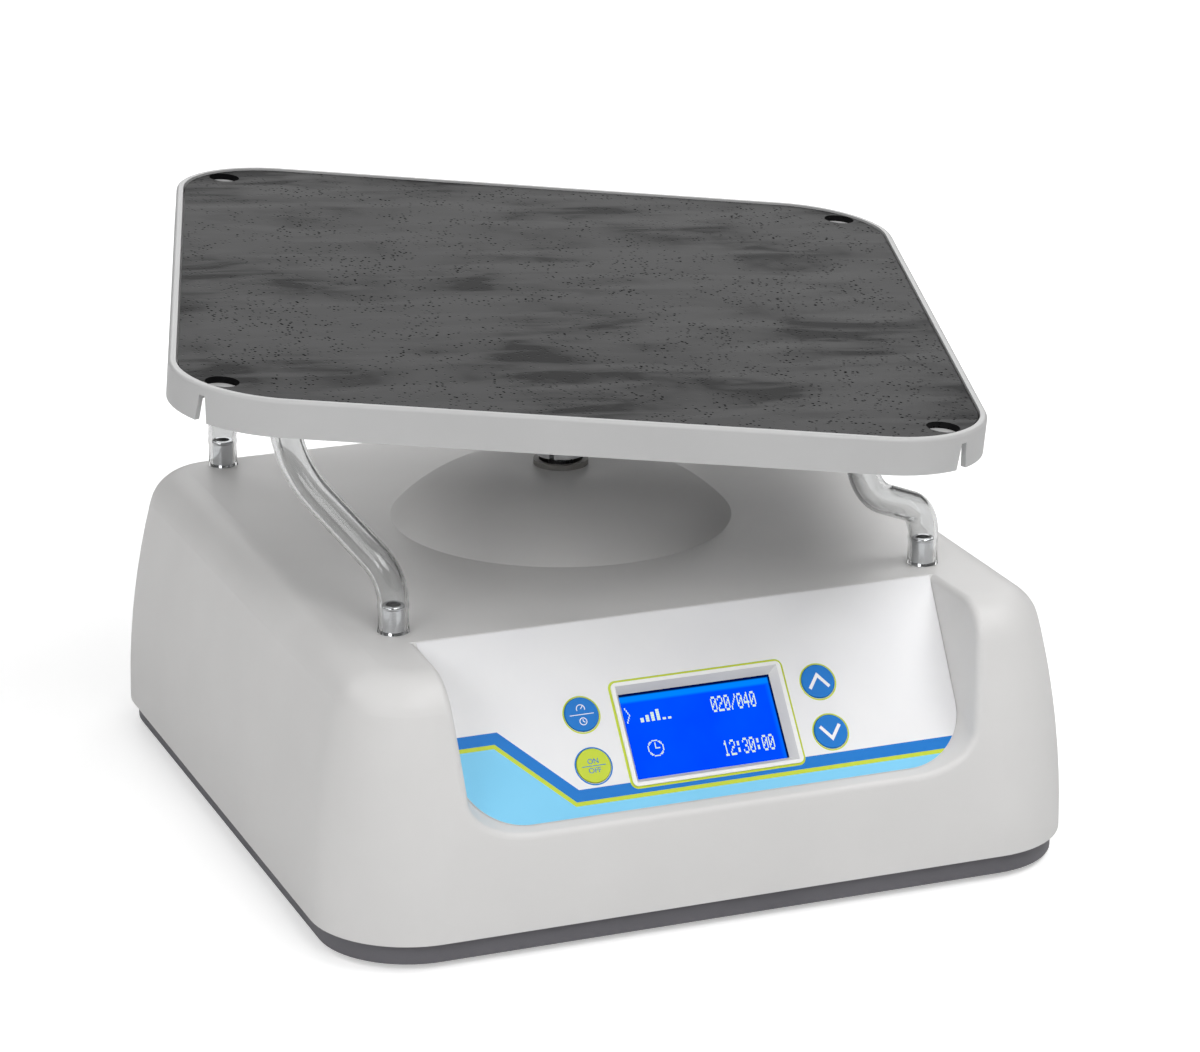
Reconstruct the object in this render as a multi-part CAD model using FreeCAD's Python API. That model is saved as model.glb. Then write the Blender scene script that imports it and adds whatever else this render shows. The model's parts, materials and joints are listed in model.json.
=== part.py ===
import FreeCAD, Part
import math
import os

# Bench shaker whose tray nutates: it leans by a fixed angle and the lean travels round.
# Millimetres, +Z up, the bench at Z = 0, the drive axis on the Z axis, the control panel towards -Y.

# Base plan: half width, and the reach to front and back of the drive axis
HOUSING_HALF = 180.0
HOUSING_FRONT = 209.0
HOUSING_BACK = 166.0
HOUSING_CORNER = 46.0
HOUSING_HEIGHT = 115.6
HOUSING_WALL = 3.0
SIDE_CURVE = 401.0
TOP_CURVE = 20.0

# Base pan, which nests in the mouth of the housing
STAND = 3.0
PAN_BAND = 9.8
PAN_GAP = 0.8
PAN_FLOOR = 3.0
PAN_WALL = 2.5
PAN_RISE = 12.0

# Feet, bosses and screws that hold the pan
FOOT_RADIUS = 11.0
FOOT_STEM = 4.0
FOOT_CAP = 5.5
FOOT_CAP_HEIGHT = 1.5
FOOT_INSET_X = 62.0
FOOT_INSET_Y = 31.0
BOSS_RADIUS = 6.0
BOSS_X = 140.0
BOSS_FRONT = -165.0
BOSS_BACK = 95.0
BASE_SCREW = 2.0
BASE_SCREW_HEAD = 4.0
BASE_SCREW_HEAD_HEIGHT = 2.2
BASE_SCREW_LENGTH = 18.0

# Dome moulded on the top, with the ring round the drive shaft
DOME_RADIUS = 81.1
DOME_FLAT = 25.0
DOME_HEIGHT = 24.5
RING_OUTER = 13.0
RING_BORE = 10.5
RING_SPIGOT = 11.9
RING_HEIGHT = 2.5

# Control panel: a leaning face at the bottom of a recess in the front
PANEL_LEAN = 38.35
PANEL_Y = -179.9
PANEL_DROP = 42.9
PANEL_HALF = 120.7
PANEL_SPREAD = 0.062
PANEL_LOW = -34.6
PANEL_CORNER = 30.0
PANEL_DRAW = 20.0
PANEL_RIM = 3.4
LABEL_THICKNESS = 0.5
LABEL_GAP = 0.3
BEZEL_WIDTH = 81.5
BEZEL_HEIGHT = 48.0
BEZEL_CORNER = 2.5
BEZEL_PROUD = 0.8
BEZEL_FLANGE = 1.6
BEZEL_BEVEL = 2.6
VIEW_WIDTH = 72.5
VIEW_HEIGHT = 39.5
VIEW_DEPTH = 4.4
GLASS_MARGIN = 1.4
GLASS_THICKNESS = 1.5
MODULE_FRAME = 4.5
MODULE_BOARD = 1.6
MODULE_WIDTH = 88.0
MODULE_HEIGHT = 60.0
MODULE_LIP = 3.0

# Push buttons
BUTTON_U = 56.8
BUTTON_V_HIGH = 12.0
BUTTON_V_LOW = -11.8
BUTTON_RADIUS = 7.8
BUTTON_GAP = 0.25
BUTTON_PROUD = 0.6
BUTTON_TRAVEL = 1.0
BUTTON_FLANGE = 1.4
BUTTON_FLANGE_WIDTH = 1.3
BUTTON_STEM = 2.5
BUTTON_TIP = 1.4
BUTTON_SEAT = 0.1
SWITCH_SIDE = 6.0
SWITCH_HEIGHT = 5.0
SWITCH_BORE = 1.7
SWITCH_BORE_DEPTH = 2.4
BOARD_WIDTH = 150.0
BOARD_HEIGHT = 62.0
BOARD_THICKNESS = 1.6
BOARD_SCREW = 1.5
BOARD_SCREW_HEAD = 2.8
BOARD_BOSS = 3.5
BOARD_HOLE_U = 70.0
BOARD_HOLE_V = 26.0

# Clear tubes that stop the tray turning, and the pegs that they grip
PEG_X = 128.4
PEG_Y = 129.0
PEG_RADIUS = 5.0
PEG_LIP = 5.3
PEG_LIP_HEIGHT = 1.8
PEG_HEIGHT = 12.8
PEG_BORE = 3.4
PEG_BORE_DEPTH = 6.0
PEG_STUD = 4.0
PEG_STUD_LENGTH = 9.5
NUT_ACROSS = 13.0
NUT_HEIGHT = 5.0
TUBE_OUTER = 7.1
TUBE_INNER = 5.4
TUBE_RISE = 25.5
TUBE_DROP = 39.5
TUBE_STRAIGHT = 0.5
TUBE_END_GAP = 0.3
DECK_PEG_LENGTH = 13.0
DECK_STUD = 3.0

# Tray attitude at rest: lean, the way it leans, its turn, and the point that never moves
DECK_TILT = 5.1
LEAN_AZIMUTH = -25.92
DECK_TURN = -16.92
PIVOT_ABOVE_TOP = 122.7
PIVOT_ABOVE_RIM = 14.3

# Tray
DECK_HALF_X = 179.7
DECK_HALF_Y = 195.3
DECK_CORNER = 51.5
DECK_DEPTH = 16.5
DECK_PLATE = 3.0
DECK_SKIRT = 2.6
RIM_WIDTH = 3.2
RIM_ROUND = 1.6
MAT_THICKNESS = 3.0
MAT_BELOW_RIM = 0.8
MAT_GAP = 1.0
MAT_HOLE = 7.5
MAT_HOLE_INSET_X = 23.4
MAT_HOLE_INSET_Y = 24.3
POST_HOLE = 2.5
NOTCH_TOP = 3.3
NOTCH_BOTTOM = 7.2
NOTCH_HEIGHT = 11.8
NOTCH_ROUND = 1.4
RIB_THICKNESS = 2.0
RIB_DEPTH = 6.0
RIB_X = (45.0, 100.0)
RIB_Y = (45.0, 105.0)

# Hub under the tray, and its two bearings on the tilted pin
HUB_FLANGE = 45.0
HUB_FLANGE_HEIGHT = 6.0
HUB_BARREL = 21.0
HUB_DEPTH = 41.0
HUB_SCREW_CIRCLE = 34.0
HUB_SCREW = 2.5
HUB_SCREW_HEAD = 4.5
HUB_SCREW_HEAD_HEIGHT = 2.0
HUB_SCREWS = 6
BEARING_OUTER = 14.0
BEARING_WIDTH = 8.0
BEARING_SHOULDER = 12.0
BEARING_PLAY = 0.04
BEARING_TOP_GAP = 9.2
BEARING_INSET = 2.0
HUB_GAP = 2.0
BEARING_GROOVE = 0.4
SHIELD_INNER = 8.2
SHIELD_OUTER = 12.2

# Tilted pin, crank hub and upright shaft
SHAFT_RADIUS = 6.0
PIN_SHOULDER = 8.0
PIN_SEAT = 12.0
PIN_CAP = 8.5
PIN_CAP_THICKNESS = 1.5
PIN_CAP_HEAD = 5.0
PIN_CAP_HEAD_HEIGHT = 3.6
PIN_CAP_SHANK = 2.5
PIN_CAP_DEPTH = 11.0
CRANK_COLLAR = 12.0
CRANK_COLLAR_BOTTOM = 158.0
CRANK_HEAD = 20.0
CRANK_HEAD_BOTTOM = 171.0
CRANK_HEAD_ROUND = 2.5
CRANK_SLIT = 2.5
CRANK_SLIT_AZIMUTH = -132.0
CRANK_SLIT_HEIGHT = 11.0
CLAMP_SCREW = 1.5
CLAMP_SCREW_HEAD = 2.4
CLAMP_SCREW_OFFSET = 8.8
CLAMP_SCREW_SEAT = 4.4
CLAMP_SCREW_RISE = 4.4
SHAFT_TOP = 172.0
SHAFT_BOTTOM = 24.0
SHAFT_SHOULDER = 8.0
SHAFT_SHOULDER_HEIGHT = 4.0
SHAFT_COLLAR = 9.0
SHAFT_COLLAR_HEIGHT = 6.5

# Drive plate, bearing housing, gear motor and toothed belt
PLATE_LEVEL = 50.0
PLATE_THICKNESS = 4.0
PLATE_LEFT = -58.0
PLATE_RIGHT_PAST_MOTOR = 44.0
PLATE_HALF_Y = 56.0
PLATE_CORNER = 8.0
PLATE_BORE = 12.5
PILLAR_RADIUS = 5.0
PILLAR_INSET = 9.0
PILLAR_SCREW = 2.0
PILLAR_SCREW_HEAD = 4.0
PILLAR_SCREW_HEAD_HEIGHT = 3.0
TOWER_FLANGE = 40.0
TOWER_FLANGE_HEIGHT = 6.0
TOWER_BARREL = 21.0
TOWER_TOP = 142.0
TOWER_SCREW_CIRCLE = 32.0
TOWER_SCREW = 2.5
TOWER_SCREW_HEAD = 4.2
TOWER_SCREW_HEAD_HEIGHT = 3.0
TOWER_RIBS = 4
TOWER_RIB_HEIGHT = 30.0
TOWER_RIB_INSET = 2.0
TOWER_SCREWS = 4
BELT_PITCH = 5.0
DRIVEN_TEETH = 60
MOTOR_TEETH = 20
BELT_TEETH = 78
TOOTH_DEPTH = 2.1
TOOTH_TIP = 0.57
BELT_WIDTH = 9.0
BELT_THICKNESS = 1.7
BELT_CLEARANCE = 0.3
PULLEY_LEVEL = 27.0
PULLEY_WIDTH = 11.0
PULLEY_FLANGE = 1.5
PULLEY_HUB = 12.0
PULLEY_HUB_HEIGHT = 6.0
LIGHTENING_HOLE = 10.0
LIGHTENING_CIRCLE = 28.0
LIGHTENING_HOLES = 5
MOTOR_SHAFT = 4.0
MOTOR_SHAFT_BOTTOM = 23.0
MOTOR_SHAFT_IN_BOX = 12.0
MOTOR_HUB = 9.0
GEARBOX_RADIUS = 31.0
GEARBOX_HEIGHT = 26.0
GEARBOX_PILOT = 9.0
MOTOR_RADIUS = 28.0
MOTOR_HEIGHT = 36.0
MOTOR_SCREWS = 4
MOTOR_SCREW_CIRCLE = 24.0
MOTOR_SCREW_DEPTH = 8.0
MOTOR_SCREW = 2.0
MOTOR_SCREW_HEAD = 3.5
MOTOR_SCREW_HEAD_HEIGHT = 2.5

# Power entry and switch in the back wall, and the power board
REAR_PAD_TOP = 72.0
REAR_PAD_BOTTOM = 26.0
REAR_PAD_LEFT = -92.0
REAR_PAD_RIGHT = 0.0
REAR_PAD_PROUD = 0.6
REAR_LEVEL = 48.0
INLET_X = -62.0
INLET_WIDTH = 27.2
INLET_HEIGHT = 19.6
INLET_DEPTH = 24.0
INLET_FLANGE_WIDTH = 50.0
INLET_FLANGE_HEIGHT = 25.0
INLET_FLANGE = 2.5
INLET_HOLE = 40.0
INLET_SOCKET_WIDTH = 24.4
INLET_SOCKET_HEIGHT = 16.8
INLET_SOCKET_DEPTH = 17.0
BLADE_WIDTH = 4.0
BLADE_THICKNESS = 2.0
BLADE_LENGTH = 14.0
BLADE_PITCH = 7.0
BLADE_RAISE = 4.0
INLET_SCREW = 1.6
INLET_SCREW_HEAD = 3.0
INLET_SCREW_HEAD_HEIGHT = 1.6
SWITCH_X = -20.0
ROCKER_RADIUS = 9.8
ROCKER_HALF_WIDTH = 5.6
ROCKER_FACE = 3.4
ROCKER_TILT = 9.0
ROCKER_PIVOT_IN = 2.0
ROCKER_GAP = 0.4
ROCKER_PIN = 1.5
ROCKER_PIN_PLAY = 0.05
ROCKER_PIN_LENGTH = 1.0
ROCKER_PIN_END_GAP = 0.2
SWITCH_BODY_WIDTH = 17.0
SWITCH_BODY_HEIGHT = 25.0
SWITCH_BODY_DEPTH = 18.0
SWITCH_FLANGE = 2.0
SWITCH_FLANGE_LIP = 2.0
POWER_FROM_SIDE = 70.0
POWER_Y = 20.0
POWER_WIDTH = 62.0
POWER_LENGTH = 96.0
POWER_LEVEL = 14.0
POWER_STANDOFF = 3.0
POWER_INSET = 5.0
TRANSFORMER_WIDTH = 30.0
TRANSFORMER_LENGTH = 28.0
TRANSFORMER_HEIGHT = 24.0
HEAT_SINK_X = 20.0
HEAT_SINK_WIDTH = 4.0
HEAT_SINK_LENGTH = 60.0
HEAT_SINK_HEIGHT = 22.0
CAPACITOR_X = -12.0
CAPACITOR_Y = 28.0
CAPACITOR_RADIUS = 8.0
CAPACITOR_HEIGHT = 20.0

# Levels that follow
PAN_UNDERSIDE = STAND
PAN_TOP = PAN_UNDERSIDE + PAN_FLOOR
HOUSING_BOTTOM = PAN_UNDERSIDE + PAN_BAND
TOP = HOUSING_BOTTOM + HOUSING_HEIGHT
CEILING = TOP - HOUSING_WALL
DOME_TOP = TOP + DOME_HEIGHT
PLATE_TOP = PLATE_LEVEL + PLATE_THICKNESS
MAT_TOP = -MAT_BELOW_RIM
DECK_FLOOR = MAT_TOP - MAT_THICKNESS
DECK_UNDERSIDE = DECK_FLOOR - DECK_PLATE
HUB_BOTTOM = DECK_UNDERSIDE - HUB_DEPTH
DRIVEN_PITCH_RADIUS = DRIVEN_TEETH * BELT_PITCH / (2 * math.pi)
MOTOR_PITCH_RADIUS = MOTOR_TEETH * BELT_PITCH / (2 * math.pi)
BELT_FREE = 2 * BELT_TEETH * BELT_PITCH - 2 * math.pi * (DRIVEN_PITCH_RADIUS + MOTOR_PITCH_RADIUS)
PITCH_STEP = 2 * (DRIVEN_PITCH_RADIUS - MOTOR_PITCH_RADIUS)
MOTOR_X = (BELT_FREE + math.sqrt(BELT_FREE ** 2 - 8 * PITCH_STEP ** 2)) / 8
PLATE_RIGHT = MOTOR_X + PLATE_RIGHT_PAST_MOTOR
POWER_X = POWER_FROM_SIDE - HOUSING_HALF
QUARTER_TURN = 90.0
FAR = 500.0


def vec(x, y, z):
    return FreeCAD.Vector(x, y, z)


def cylinder(radius, height, x=0.0, y=0.0, z=0.0, axis=(0, 0, 1)):
    return Part.makeCylinder(radius, height, vec(x, y, z), vec(*axis))


def box(x0, x1, y0, y1, z0, z1):
    return Part.makeBox(x1 - x0, y1 - y0, z1 - z0, vec(x0, y0, z0))


def ring(outer, inner, height, z, x=0.0, y=0.0):
    return cylinder(outer, height, x, y, z).cut(cylinder(inner, height, x, y, z))


def join(shapes):
    solid = shapes[0]
    if len(shapes) > 1:
        solid = solid.fuse(shapes[1:])
    return solid.removeSplitter()


def group(shapes):
    return Part.makeCompound(shapes)


def arc(start, through, end):
    return Part.Arc(start, through, end).toShape()


def line(start, end):
    return Part.LineSegment(start, end).toShape()


def outline_face(edges):
    return Part.Face(Part.Wire(edges))


def rounded_plate(x0, x1, y0, y1, corner, z, height):
    """A plate with four round corners."""
    slant = corner * (1 - math.sqrt(0.5))
    edges = [
        line(vec(x0 + corner, y0, z), vec(x1 - corner, y0, z)),
        arc(vec(x1 - corner, y0, z), vec(x1 - slant, y0 + slant, z), vec(x1, y0 + corner, z)),
        line(vec(x1, y0 + corner, z), vec(x1, y1 - corner, z)),
        arc(vec(x1, y1 - corner, z), vec(x1 - slant, y1 - slant, z), vec(x1 - corner, y1, z)),
        line(vec(x1 - corner, y1, z), vec(x0 + corner, y1, z)),
        arc(vec(x0 + corner, y1, z), vec(x0 + slant, y1 - slant, z), vec(x0, y1 - corner, z)),
        line(vec(x0, y1 - corner, z), vec(x0, y0 + corner, z)),
        arc(vec(x0, y0 + corner, z), vec(x0 + slant, y0 + slant, z), vec(x0 + corner, y0, z)),
    ]
    return outline_face(edges).extrude(vec(0, 0, height))


def base_plan(inset, z, height):
    """A plate of the housing's plan, moved in by inset on every side."""
    return rounded_plate(
        -HOUSING_HALF + inset,
        HOUSING_HALF - inset,
        -HOUSING_FRONT + inset,
        HOUSING_BACK - inset,
        HOUSING_CORNER - inset,
        z,
        height,
    )


def deck_plan(inset, z, height):
    """A plate of the tray's plan, moved in by inset on every side."""
    return rounded_plate(
        -DECK_HALF_X + inset,
        DECK_HALF_X - inset,
        -DECK_HALF_Y + inset,
        DECK_HALF_Y - inset,
        DECK_CORNER - inset,
        z,
        height,
    )


def side_section(inset):
    """Half section of the moulded box, from a corner's axis out to its bowed side."""
    reach = HOUSING_CORNER - inset
    side = SIDE_CURVE - inset
    crown = TOP_CURVE - inset
    top = TOP - inset
    bow_x = reach - side
    crown_z = top - crown
    crown_x = bow_x + math.sqrt((side - crown) ** 2 - (crown_z - HOUSING_BOTTOM) ** 2)
    stretch = side / (side - crown)
    meet_x = bow_x + (crown_x - bow_x) * stretch
    meet_z = HOUSING_BOTTOM + (crown_z - HOUSING_BOTTOM) * stretch
    bow_angle = math.asin((meet_z - HOUSING_BOTTOM) / side) / 2
    crown_angle = (math.atan2(meet_z - crown_z, meet_x - crown_x) + math.pi / 2) / 2
    foot = vec(reach, 0, HOUSING_BOTTOM)
    bow_mid = vec(bow_x + side * math.cos(bow_angle), 0, HOUSING_BOTTOM + side * math.sin(bow_angle))
    meet = vec(meet_x, 0, meet_z)
    crown_mid = vec(crown_x + crown * math.cos(crown_angle), 0, crown_z + crown * math.sin(crown_angle))
    shoulder = vec(crown_x, 0, top)
    edges = [
        line(vec(0, 0, HOUSING_BOTTOM), foot),
        arc(foot, bow_mid, meet),
        arc(meet, crown_mid, shoulder),
        line(shoulder, vec(0, 0, top)),
        line(vec(0, 0, top), vec(0, 0, HOUSING_BOTTOM)),
    ]
    return outline_face(edges)


def moulded_box(inset):
    """The housing's outside, or its inside when inset is the wall."""
    section = side_section(inset)
    right = HOUSING_HALF - HOUSING_CORNER
    front = -HOUSING_FRONT + HOUSING_CORNER
    back = HOUSING_BACK - HOUSING_CORNER
    width = 2 * right
    depth = back - front
    corners = ((right, back), (-right, back), (-right, front), (right, front))
    runs = (width, depth, width, depth)
    pieces = [box(-right, right, front, back, HOUSING_BOTTOM, TOP - inset)]
    for step, ((x, y), run) in enumerate(zip(corners, runs)):
        turn = step * QUARTER_TURN
        start = section.copy()
        start.Placement = FreeCAD.Placement(vec(x, y, 0), FreeCAD.Rotation(vec(0, 0, 1), turn))
        end = section.copy()
        end.Placement = FreeCAD.Placement(vec(x, y, 0), FreeCAD.Rotation(vec(0, 0, 1), turn + QUARTER_TURN))
        along = math.radians(turn + 2 * QUARTER_TURN)
        pieces.append(start.revolve(vec(x, y, 0), vec(0, 0, 1), QUARTER_TURN))
        pieces.append(end.extrude(vec(run * math.cos(along), run * math.sin(along), 0)))
    return join(pieces)


def dome(inset):
    """The dome: a flat crown carried round to the top face by one arc."""
    drop = DOME_RADIUS - DOME_FLAT
    curve = (drop ** 2 + DOME_HEIGHT ** 2) / (2 * DOME_HEIGHT)
    centre = DOME_TOP - curve
    radius = curve - inset
    level = TOP - HOUSING_WALL
    foot = DOME_FLAT + math.sqrt(radius ** 2 - (level - centre) ** 2)
    half = math.acos((foot - DOME_FLAT) / radius)
    middle = (half + math.pi / 2) / 2
    crown = vec(DOME_FLAT, 0, centre + radius)
    edges = [
        line(vec(0, 0, level), vec(foot, 0, level)),
        arc(
            vec(foot, 0, level),
            vec(DOME_FLAT + radius * math.cos(middle), 0, centre + radius * math.sin(middle)),
            crown,
        ),
        line(crown, vec(0, 0, centre + radius)),
        line(vec(0, 0, centre + radius), vec(0, 0, level)),
    ]
    return outline_face(edges).revolve(vec(0, 0, 0), vec(0, 0, 1), 360)


PANEL = FreeCAD.Placement(
    vec(0, PANEL_Y, TOP - PANEL_DROP),
    FreeCAD.Rotation(vec(1, 0, 0), 90 - PANEL_LEAN),
)


def on_panel(shape):
    """Move a shape from the panel's own frame, where Z points out of the face."""
    shape.Placement = PANEL.multiply(shape.Placement)
    return shape


# Way the mould core slides out of the recess, in the panel's own frame
DRAW_WAY = vec(0, -math.cos(math.radians(PANEL_DRAW)), -math.sin(math.radians(PANEL_DRAW)))
DRAW = PANEL.Rotation.inverted().multVec(DRAW_WAY)
SIDE_LEAN = math.atan(PANEL_SPREAD)


def panel_half(v):
    """Half width of the recess at a height on the panel, wider towards the top."""
    return PANEL_HALF + PANEL_SPREAD * v


def corner_centre(grow):
    """Centre of a round lower corner of the recess outline."""
    v = PANEL_LOW - grow / DRAW.z + PANEL_CORNER + grow
    return panel_half(v) - PANEL_CORNER / math.cos(SIDE_LEAN), v


def panel_prism(grow):
    """The recess in front of the panel face, drawn out forwards and a little down."""
    radius = PANEL_CORNER + grow
    u, v = corner_centre(grow)
    middle = (SIDE_LEAN + math.pi / 2) / 2
    side_u = u + radius * math.cos(SIDE_LEAN)
    side_v = v - radius * math.sin(SIDE_LEAN)
    slant_u = u + radius * math.cos(middle)
    slant_v = v - radius * math.sin(middle)
    high = HOUSING_FRONT
    high_u = panel_half(high) + grow / math.cos(SIDE_LEAN)
    edges = [
        line(vec(-high_u, high, 0), vec(-side_u, side_v, 0)),
        arc(vec(-side_u, side_v, 0), vec(-slant_u, slant_v, 0), vec(-u, v - radius, 0)),
        line(vec(-u, v - radius, 0), vec(u, v - radius, 0)),
        arc(vec(u, v - radius, 0), vec(slant_u, slant_v, 0), vec(side_u, side_v, 0)),
        line(vec(side_u, side_v, 0), vec(high_u, high, 0)),
        line(vec(high_u, high, 0), vec(-high_u, high, 0)),
    ]
    prism = outline_face(edges).extrude(DRAW * HOUSING_FRONT)
    prism.translate(DRAW * -PANEL_DROP)
    return on_panel(prism)


def panel_recess(grow):
    """The recess with its leaning floor, grown by a wall when grow is one."""
    front = on_panel(box(-FAR, FAR, -FAR, FAR, -LABEL_THICKNESS - grow, FAR))
    return panel_prism(grow).common(front)


def off_outline(u, v):
    """Distance from the recess outline, in the plane of the panel."""
    centre_u, centre_v = corner_centre(0.0)
    side = (abs(u) - panel_half(v)) * math.cos(SIDE_LEAN)
    corner = math.hypot(abs(u) - centre_u, v - centre_v) - PANEL_CORNER
    return min(abs(side), abs(v - PANEL_LOW), abs(corner))


def is_recess_rim(edge):
    """True for the edges where the recess walls meet the outside of the box."""
    first, last = edge.ParameterRange
    for share in (0.2, 0.5, 0.8):
        point = PANEL.inverse().multVec(edge.valueAt(first + share * (last - first)))
        foot = point - DRAW * (point.z / DRAW.z)
        if point.z < LABEL_THICKNESS or off_outline(foot.x, foot.y) > 0.01:
            return False
    tangent = PANEL.Rotation.inverted().multVec(edge.tangentAt((first + last) / 2))
    return abs(tangent.dot(DRAW)) < 1 - 1e-6


def boss_places():
    return [(side * BOSS_X, y) for y in (BOSS_FRONT, BOSS_BACK) for side in (-1, 1)]


def peg_places():
    return [(side * PEG_X, end * PEG_Y) for end in (-1, 1) for side in (-1, 1)]


def button_places():
    left = [("left_upper", -BUTTON_U, BUTTON_V_HIGH), ("left_lower", -BUTTON_U, BUTTON_V_LOW)]
    right = [("right_upper", BUTTON_U, BUTTON_V_HIGH), ("right_lower", BUTTON_U, BUTTON_V_LOW)]
    return left + right


def board_hole_places():
    return [(u * BOARD_HOLE_U, v * BOARD_HOLE_V) for u in (-1, 1) for v in (-1, 1)]


PANEL_BACK = -LABEL_THICKNESS - HOUSING_WALL
GLASS_FRONT = -VIEW_DEPTH - LABEL_GAP
GLASS_BACK = GLASS_FRONT - GLASS_THICKNESS
MODULE_BACK = GLASS_BACK - MODULE_FRAME - MODULE_BOARD
BOARD_FRONT = MODULE_BACK
BOARD_BACK = BOARD_FRONT - BOARD_THICKNESS
SWITCH_FRONT = BOARD_FRONT + SWITCH_HEIGHT
BUTTON_FLANGE_FRONT = PANEL_BACK - BUTTON_SEAT
BUTTON_FLANGE_BACK = BUTTON_FLANGE_FRONT - BUTTON_FLANGE
REAR_FACE = HOUSING_BACK + REAR_PAD_PROUD
BEZEL_BODY_WIDTH = BEZEL_WIDTH - 2 * BEZEL_FLANGE
BEZEL_BODY_HEIGHT = BEZEL_HEIGHT - 2 * BEZEL_FLANGE


def make_housing():
    """Moulded cover: bowed box, dome, panel recess, bosses and its openings."""
    outside = join([moulded_box(0.0), dome(0.0)])
    outside = outside.cut(panel_recess(0.0))
    rim = [edge for edge in outside.Edges if is_recess_rim(edge)]
    outside = outside.makeFillet(PANEL_RIM, rim)
    pad = box(
        REAR_PAD_LEFT,
        REAR_PAD_RIGHT,
        HOUSING_BACK - HOUSING_WALL - REAR_PAD_PROUD,
        REAR_FACE,
        REAR_PAD_BOTTOM,
        REAR_PAD_TOP,
    )
    inside = join([moulded_box(HOUSING_WALL), dome(HOUSING_WALL)])
    inside = inside.cut(panel_recess(HOUSING_WALL))
    shell = outside.cut(inside)
    added = [pad]
    for x, y in boss_places():
        added.append(cylinder(BOSS_RADIUS, CEILING + HOUSING_WALL / 2 - PAN_TOP, x, y, PAN_TOP))
    for u, v in board_hole_places():
        post = cylinder(BOARD_BOSS, PANEL_BACK + HOUSING_WALL / 2 - BOARD_FRONT, u, v, BOARD_FRONT)
        added.append(on_panel(post))
    shell = shell.fuse(added)
    cuts = [cylinder(RING_SPIGOT, DOME_HEIGHT, z=DOME_TOP - DOME_HEIGHT / 2)]
    for x, y in boss_places():
        cuts.append(cylinder(BASE_SCREW, BASE_SCREW_LENGTH, x, y, PAN_UNDERSIDE))
    for x, y in peg_places():
        cuts.append(cylinder(PEG_STUD, HOUSING_WALL * 3, x, y, TOP - HOUSING_WALL * 2))
    reach = HOUSING_WALL * 3
    window = box(
        -BEZEL_BODY_WIDTH / 2,
        BEZEL_BODY_WIDTH / 2,
        -BEZEL_BODY_HEIGHT / 2,
        BEZEL_BODY_HEIGHT / 2,
        -reach,
        reach,
    )
    cuts.append(on_panel(window))
    for name, u, v in button_places():
        cuts.append(on_panel(cylinder(BUTTON_RADIUS + BUTTON_GAP, 2 * reach, u, v, -reach)))
    for u, v in board_hole_places():
        depth = PANEL_BACK - BOARD_FRONT
        cuts.append(on_panel(cylinder(BOARD_SCREW, depth, u, v, BOARD_FRONT)))
    cuts.append(rear_cut(INLET_X, INLET_WIDTH, INLET_HEIGHT))
    cuts.append(rear_cut(SWITCH_X, SWITCH_BODY_WIDTH, SWITCH_BODY_HEIGHT))
    for side in (-1, 1):
        x = INLET_X + side * INLET_HOLE / 2
        cuts.append(cylinder(INLET_SCREW, 3 * reach, x, REAR_FACE - reach, REAR_LEVEL, (0, 1, 0)))
    return shell.cut(cuts)


def rear_cut(x, width, height):
    """A window through the back wall."""
    deep = HOUSING_WALL * 4
    return box(
        x - width / 2,
        x + width / 2,
        REAR_FACE - deep,
        REAR_FACE + deep,
        REAR_LEVEL - height / 2,
        REAR_LEVEL + height / 2,
    )


def foot_places():
    x = HOUSING_HALF - FOOT_INSET_X
    rows = (-HOUSING_FRONT + FOOT_INSET_Y, HOUSING_BACK - FOOT_INSET_Y)
    return [(side * x, y) for y in rows for side in (-1, 1)]


def make_base_pan():
    inset = HOUSING_WALL + PAN_GAP
    height = PAN_BAND + PAN_RISE
    pan = base_plan(inset, PAN_UNDERSIDE, height)
    pan = pan.cut(base_plan(inset + PAN_WALL, PAN_TOP, height))
    holes = []
    for x, y in boss_places():
        holes.append(cylinder(BASE_SCREW, PAN_FLOOR, x, y, PAN_UNDERSIDE))
    for x, y in foot_places():
        holes.append(cylinder(FOOT_STEM, PAN_FLOOR, x, y, PAN_UNDERSIDE))
    for x, y in pillar_places():
        holes.append(cylinder(PILLAR_SCREW, PAN_FLOOR, x, y, PAN_UNDERSIDE))
    return pan.cut(holes)


def make_foot(x, y):
    pad = Part.makeCone(FOOT_RADIUS - 1, FOOT_RADIUS, STAND, vec(x, y, 0))
    stem = cylinder(FOOT_STEM, PAN_FLOOR, x, y, PAN_UNDERSIDE)
    cap = cylinder(FOOT_CAP, FOOT_CAP_HEIGHT, x, y, PAN_TOP)
    return join([pad, stem, cap])


def screw_up(x, y, z, shank, length, head, head_height):
    """A screw driven upwards: z is the seat of its head."""
    body = cylinder(shank, length, x, y, z)
    return body.fuse(cylinder(head, head_height, x, y, z - head_height))


def screw_down(x, y, z, shank, length, head, head_height):
    """A screw driven downwards: z is the seat of its head."""
    body = cylinder(shank, length, x, y, z - length)
    return body.fuse(cylinder(head, head_height, x, y, z))


def make_base_screws():
    screws = []
    for x, y in boss_places():
        length = BASE_SCREW_LENGTH
        screws.append(
            screw_up(x, y, PAN_UNDERSIDE, BASE_SCREW, length, BASE_SCREW_HEAD, BASE_SCREW_HEAD_HEIGHT)
        )
    return group(screws)


def make_shaft_ring():
    flange = ring(RING_OUTER, RING_BORE, RING_HEIGHT, DOME_TOP)
    spigot = ring(RING_SPIGOT, RING_BORE, HOUSING_WALL, DOME_TOP - HOUSING_WALL)
    return join([flange, spigot])


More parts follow.
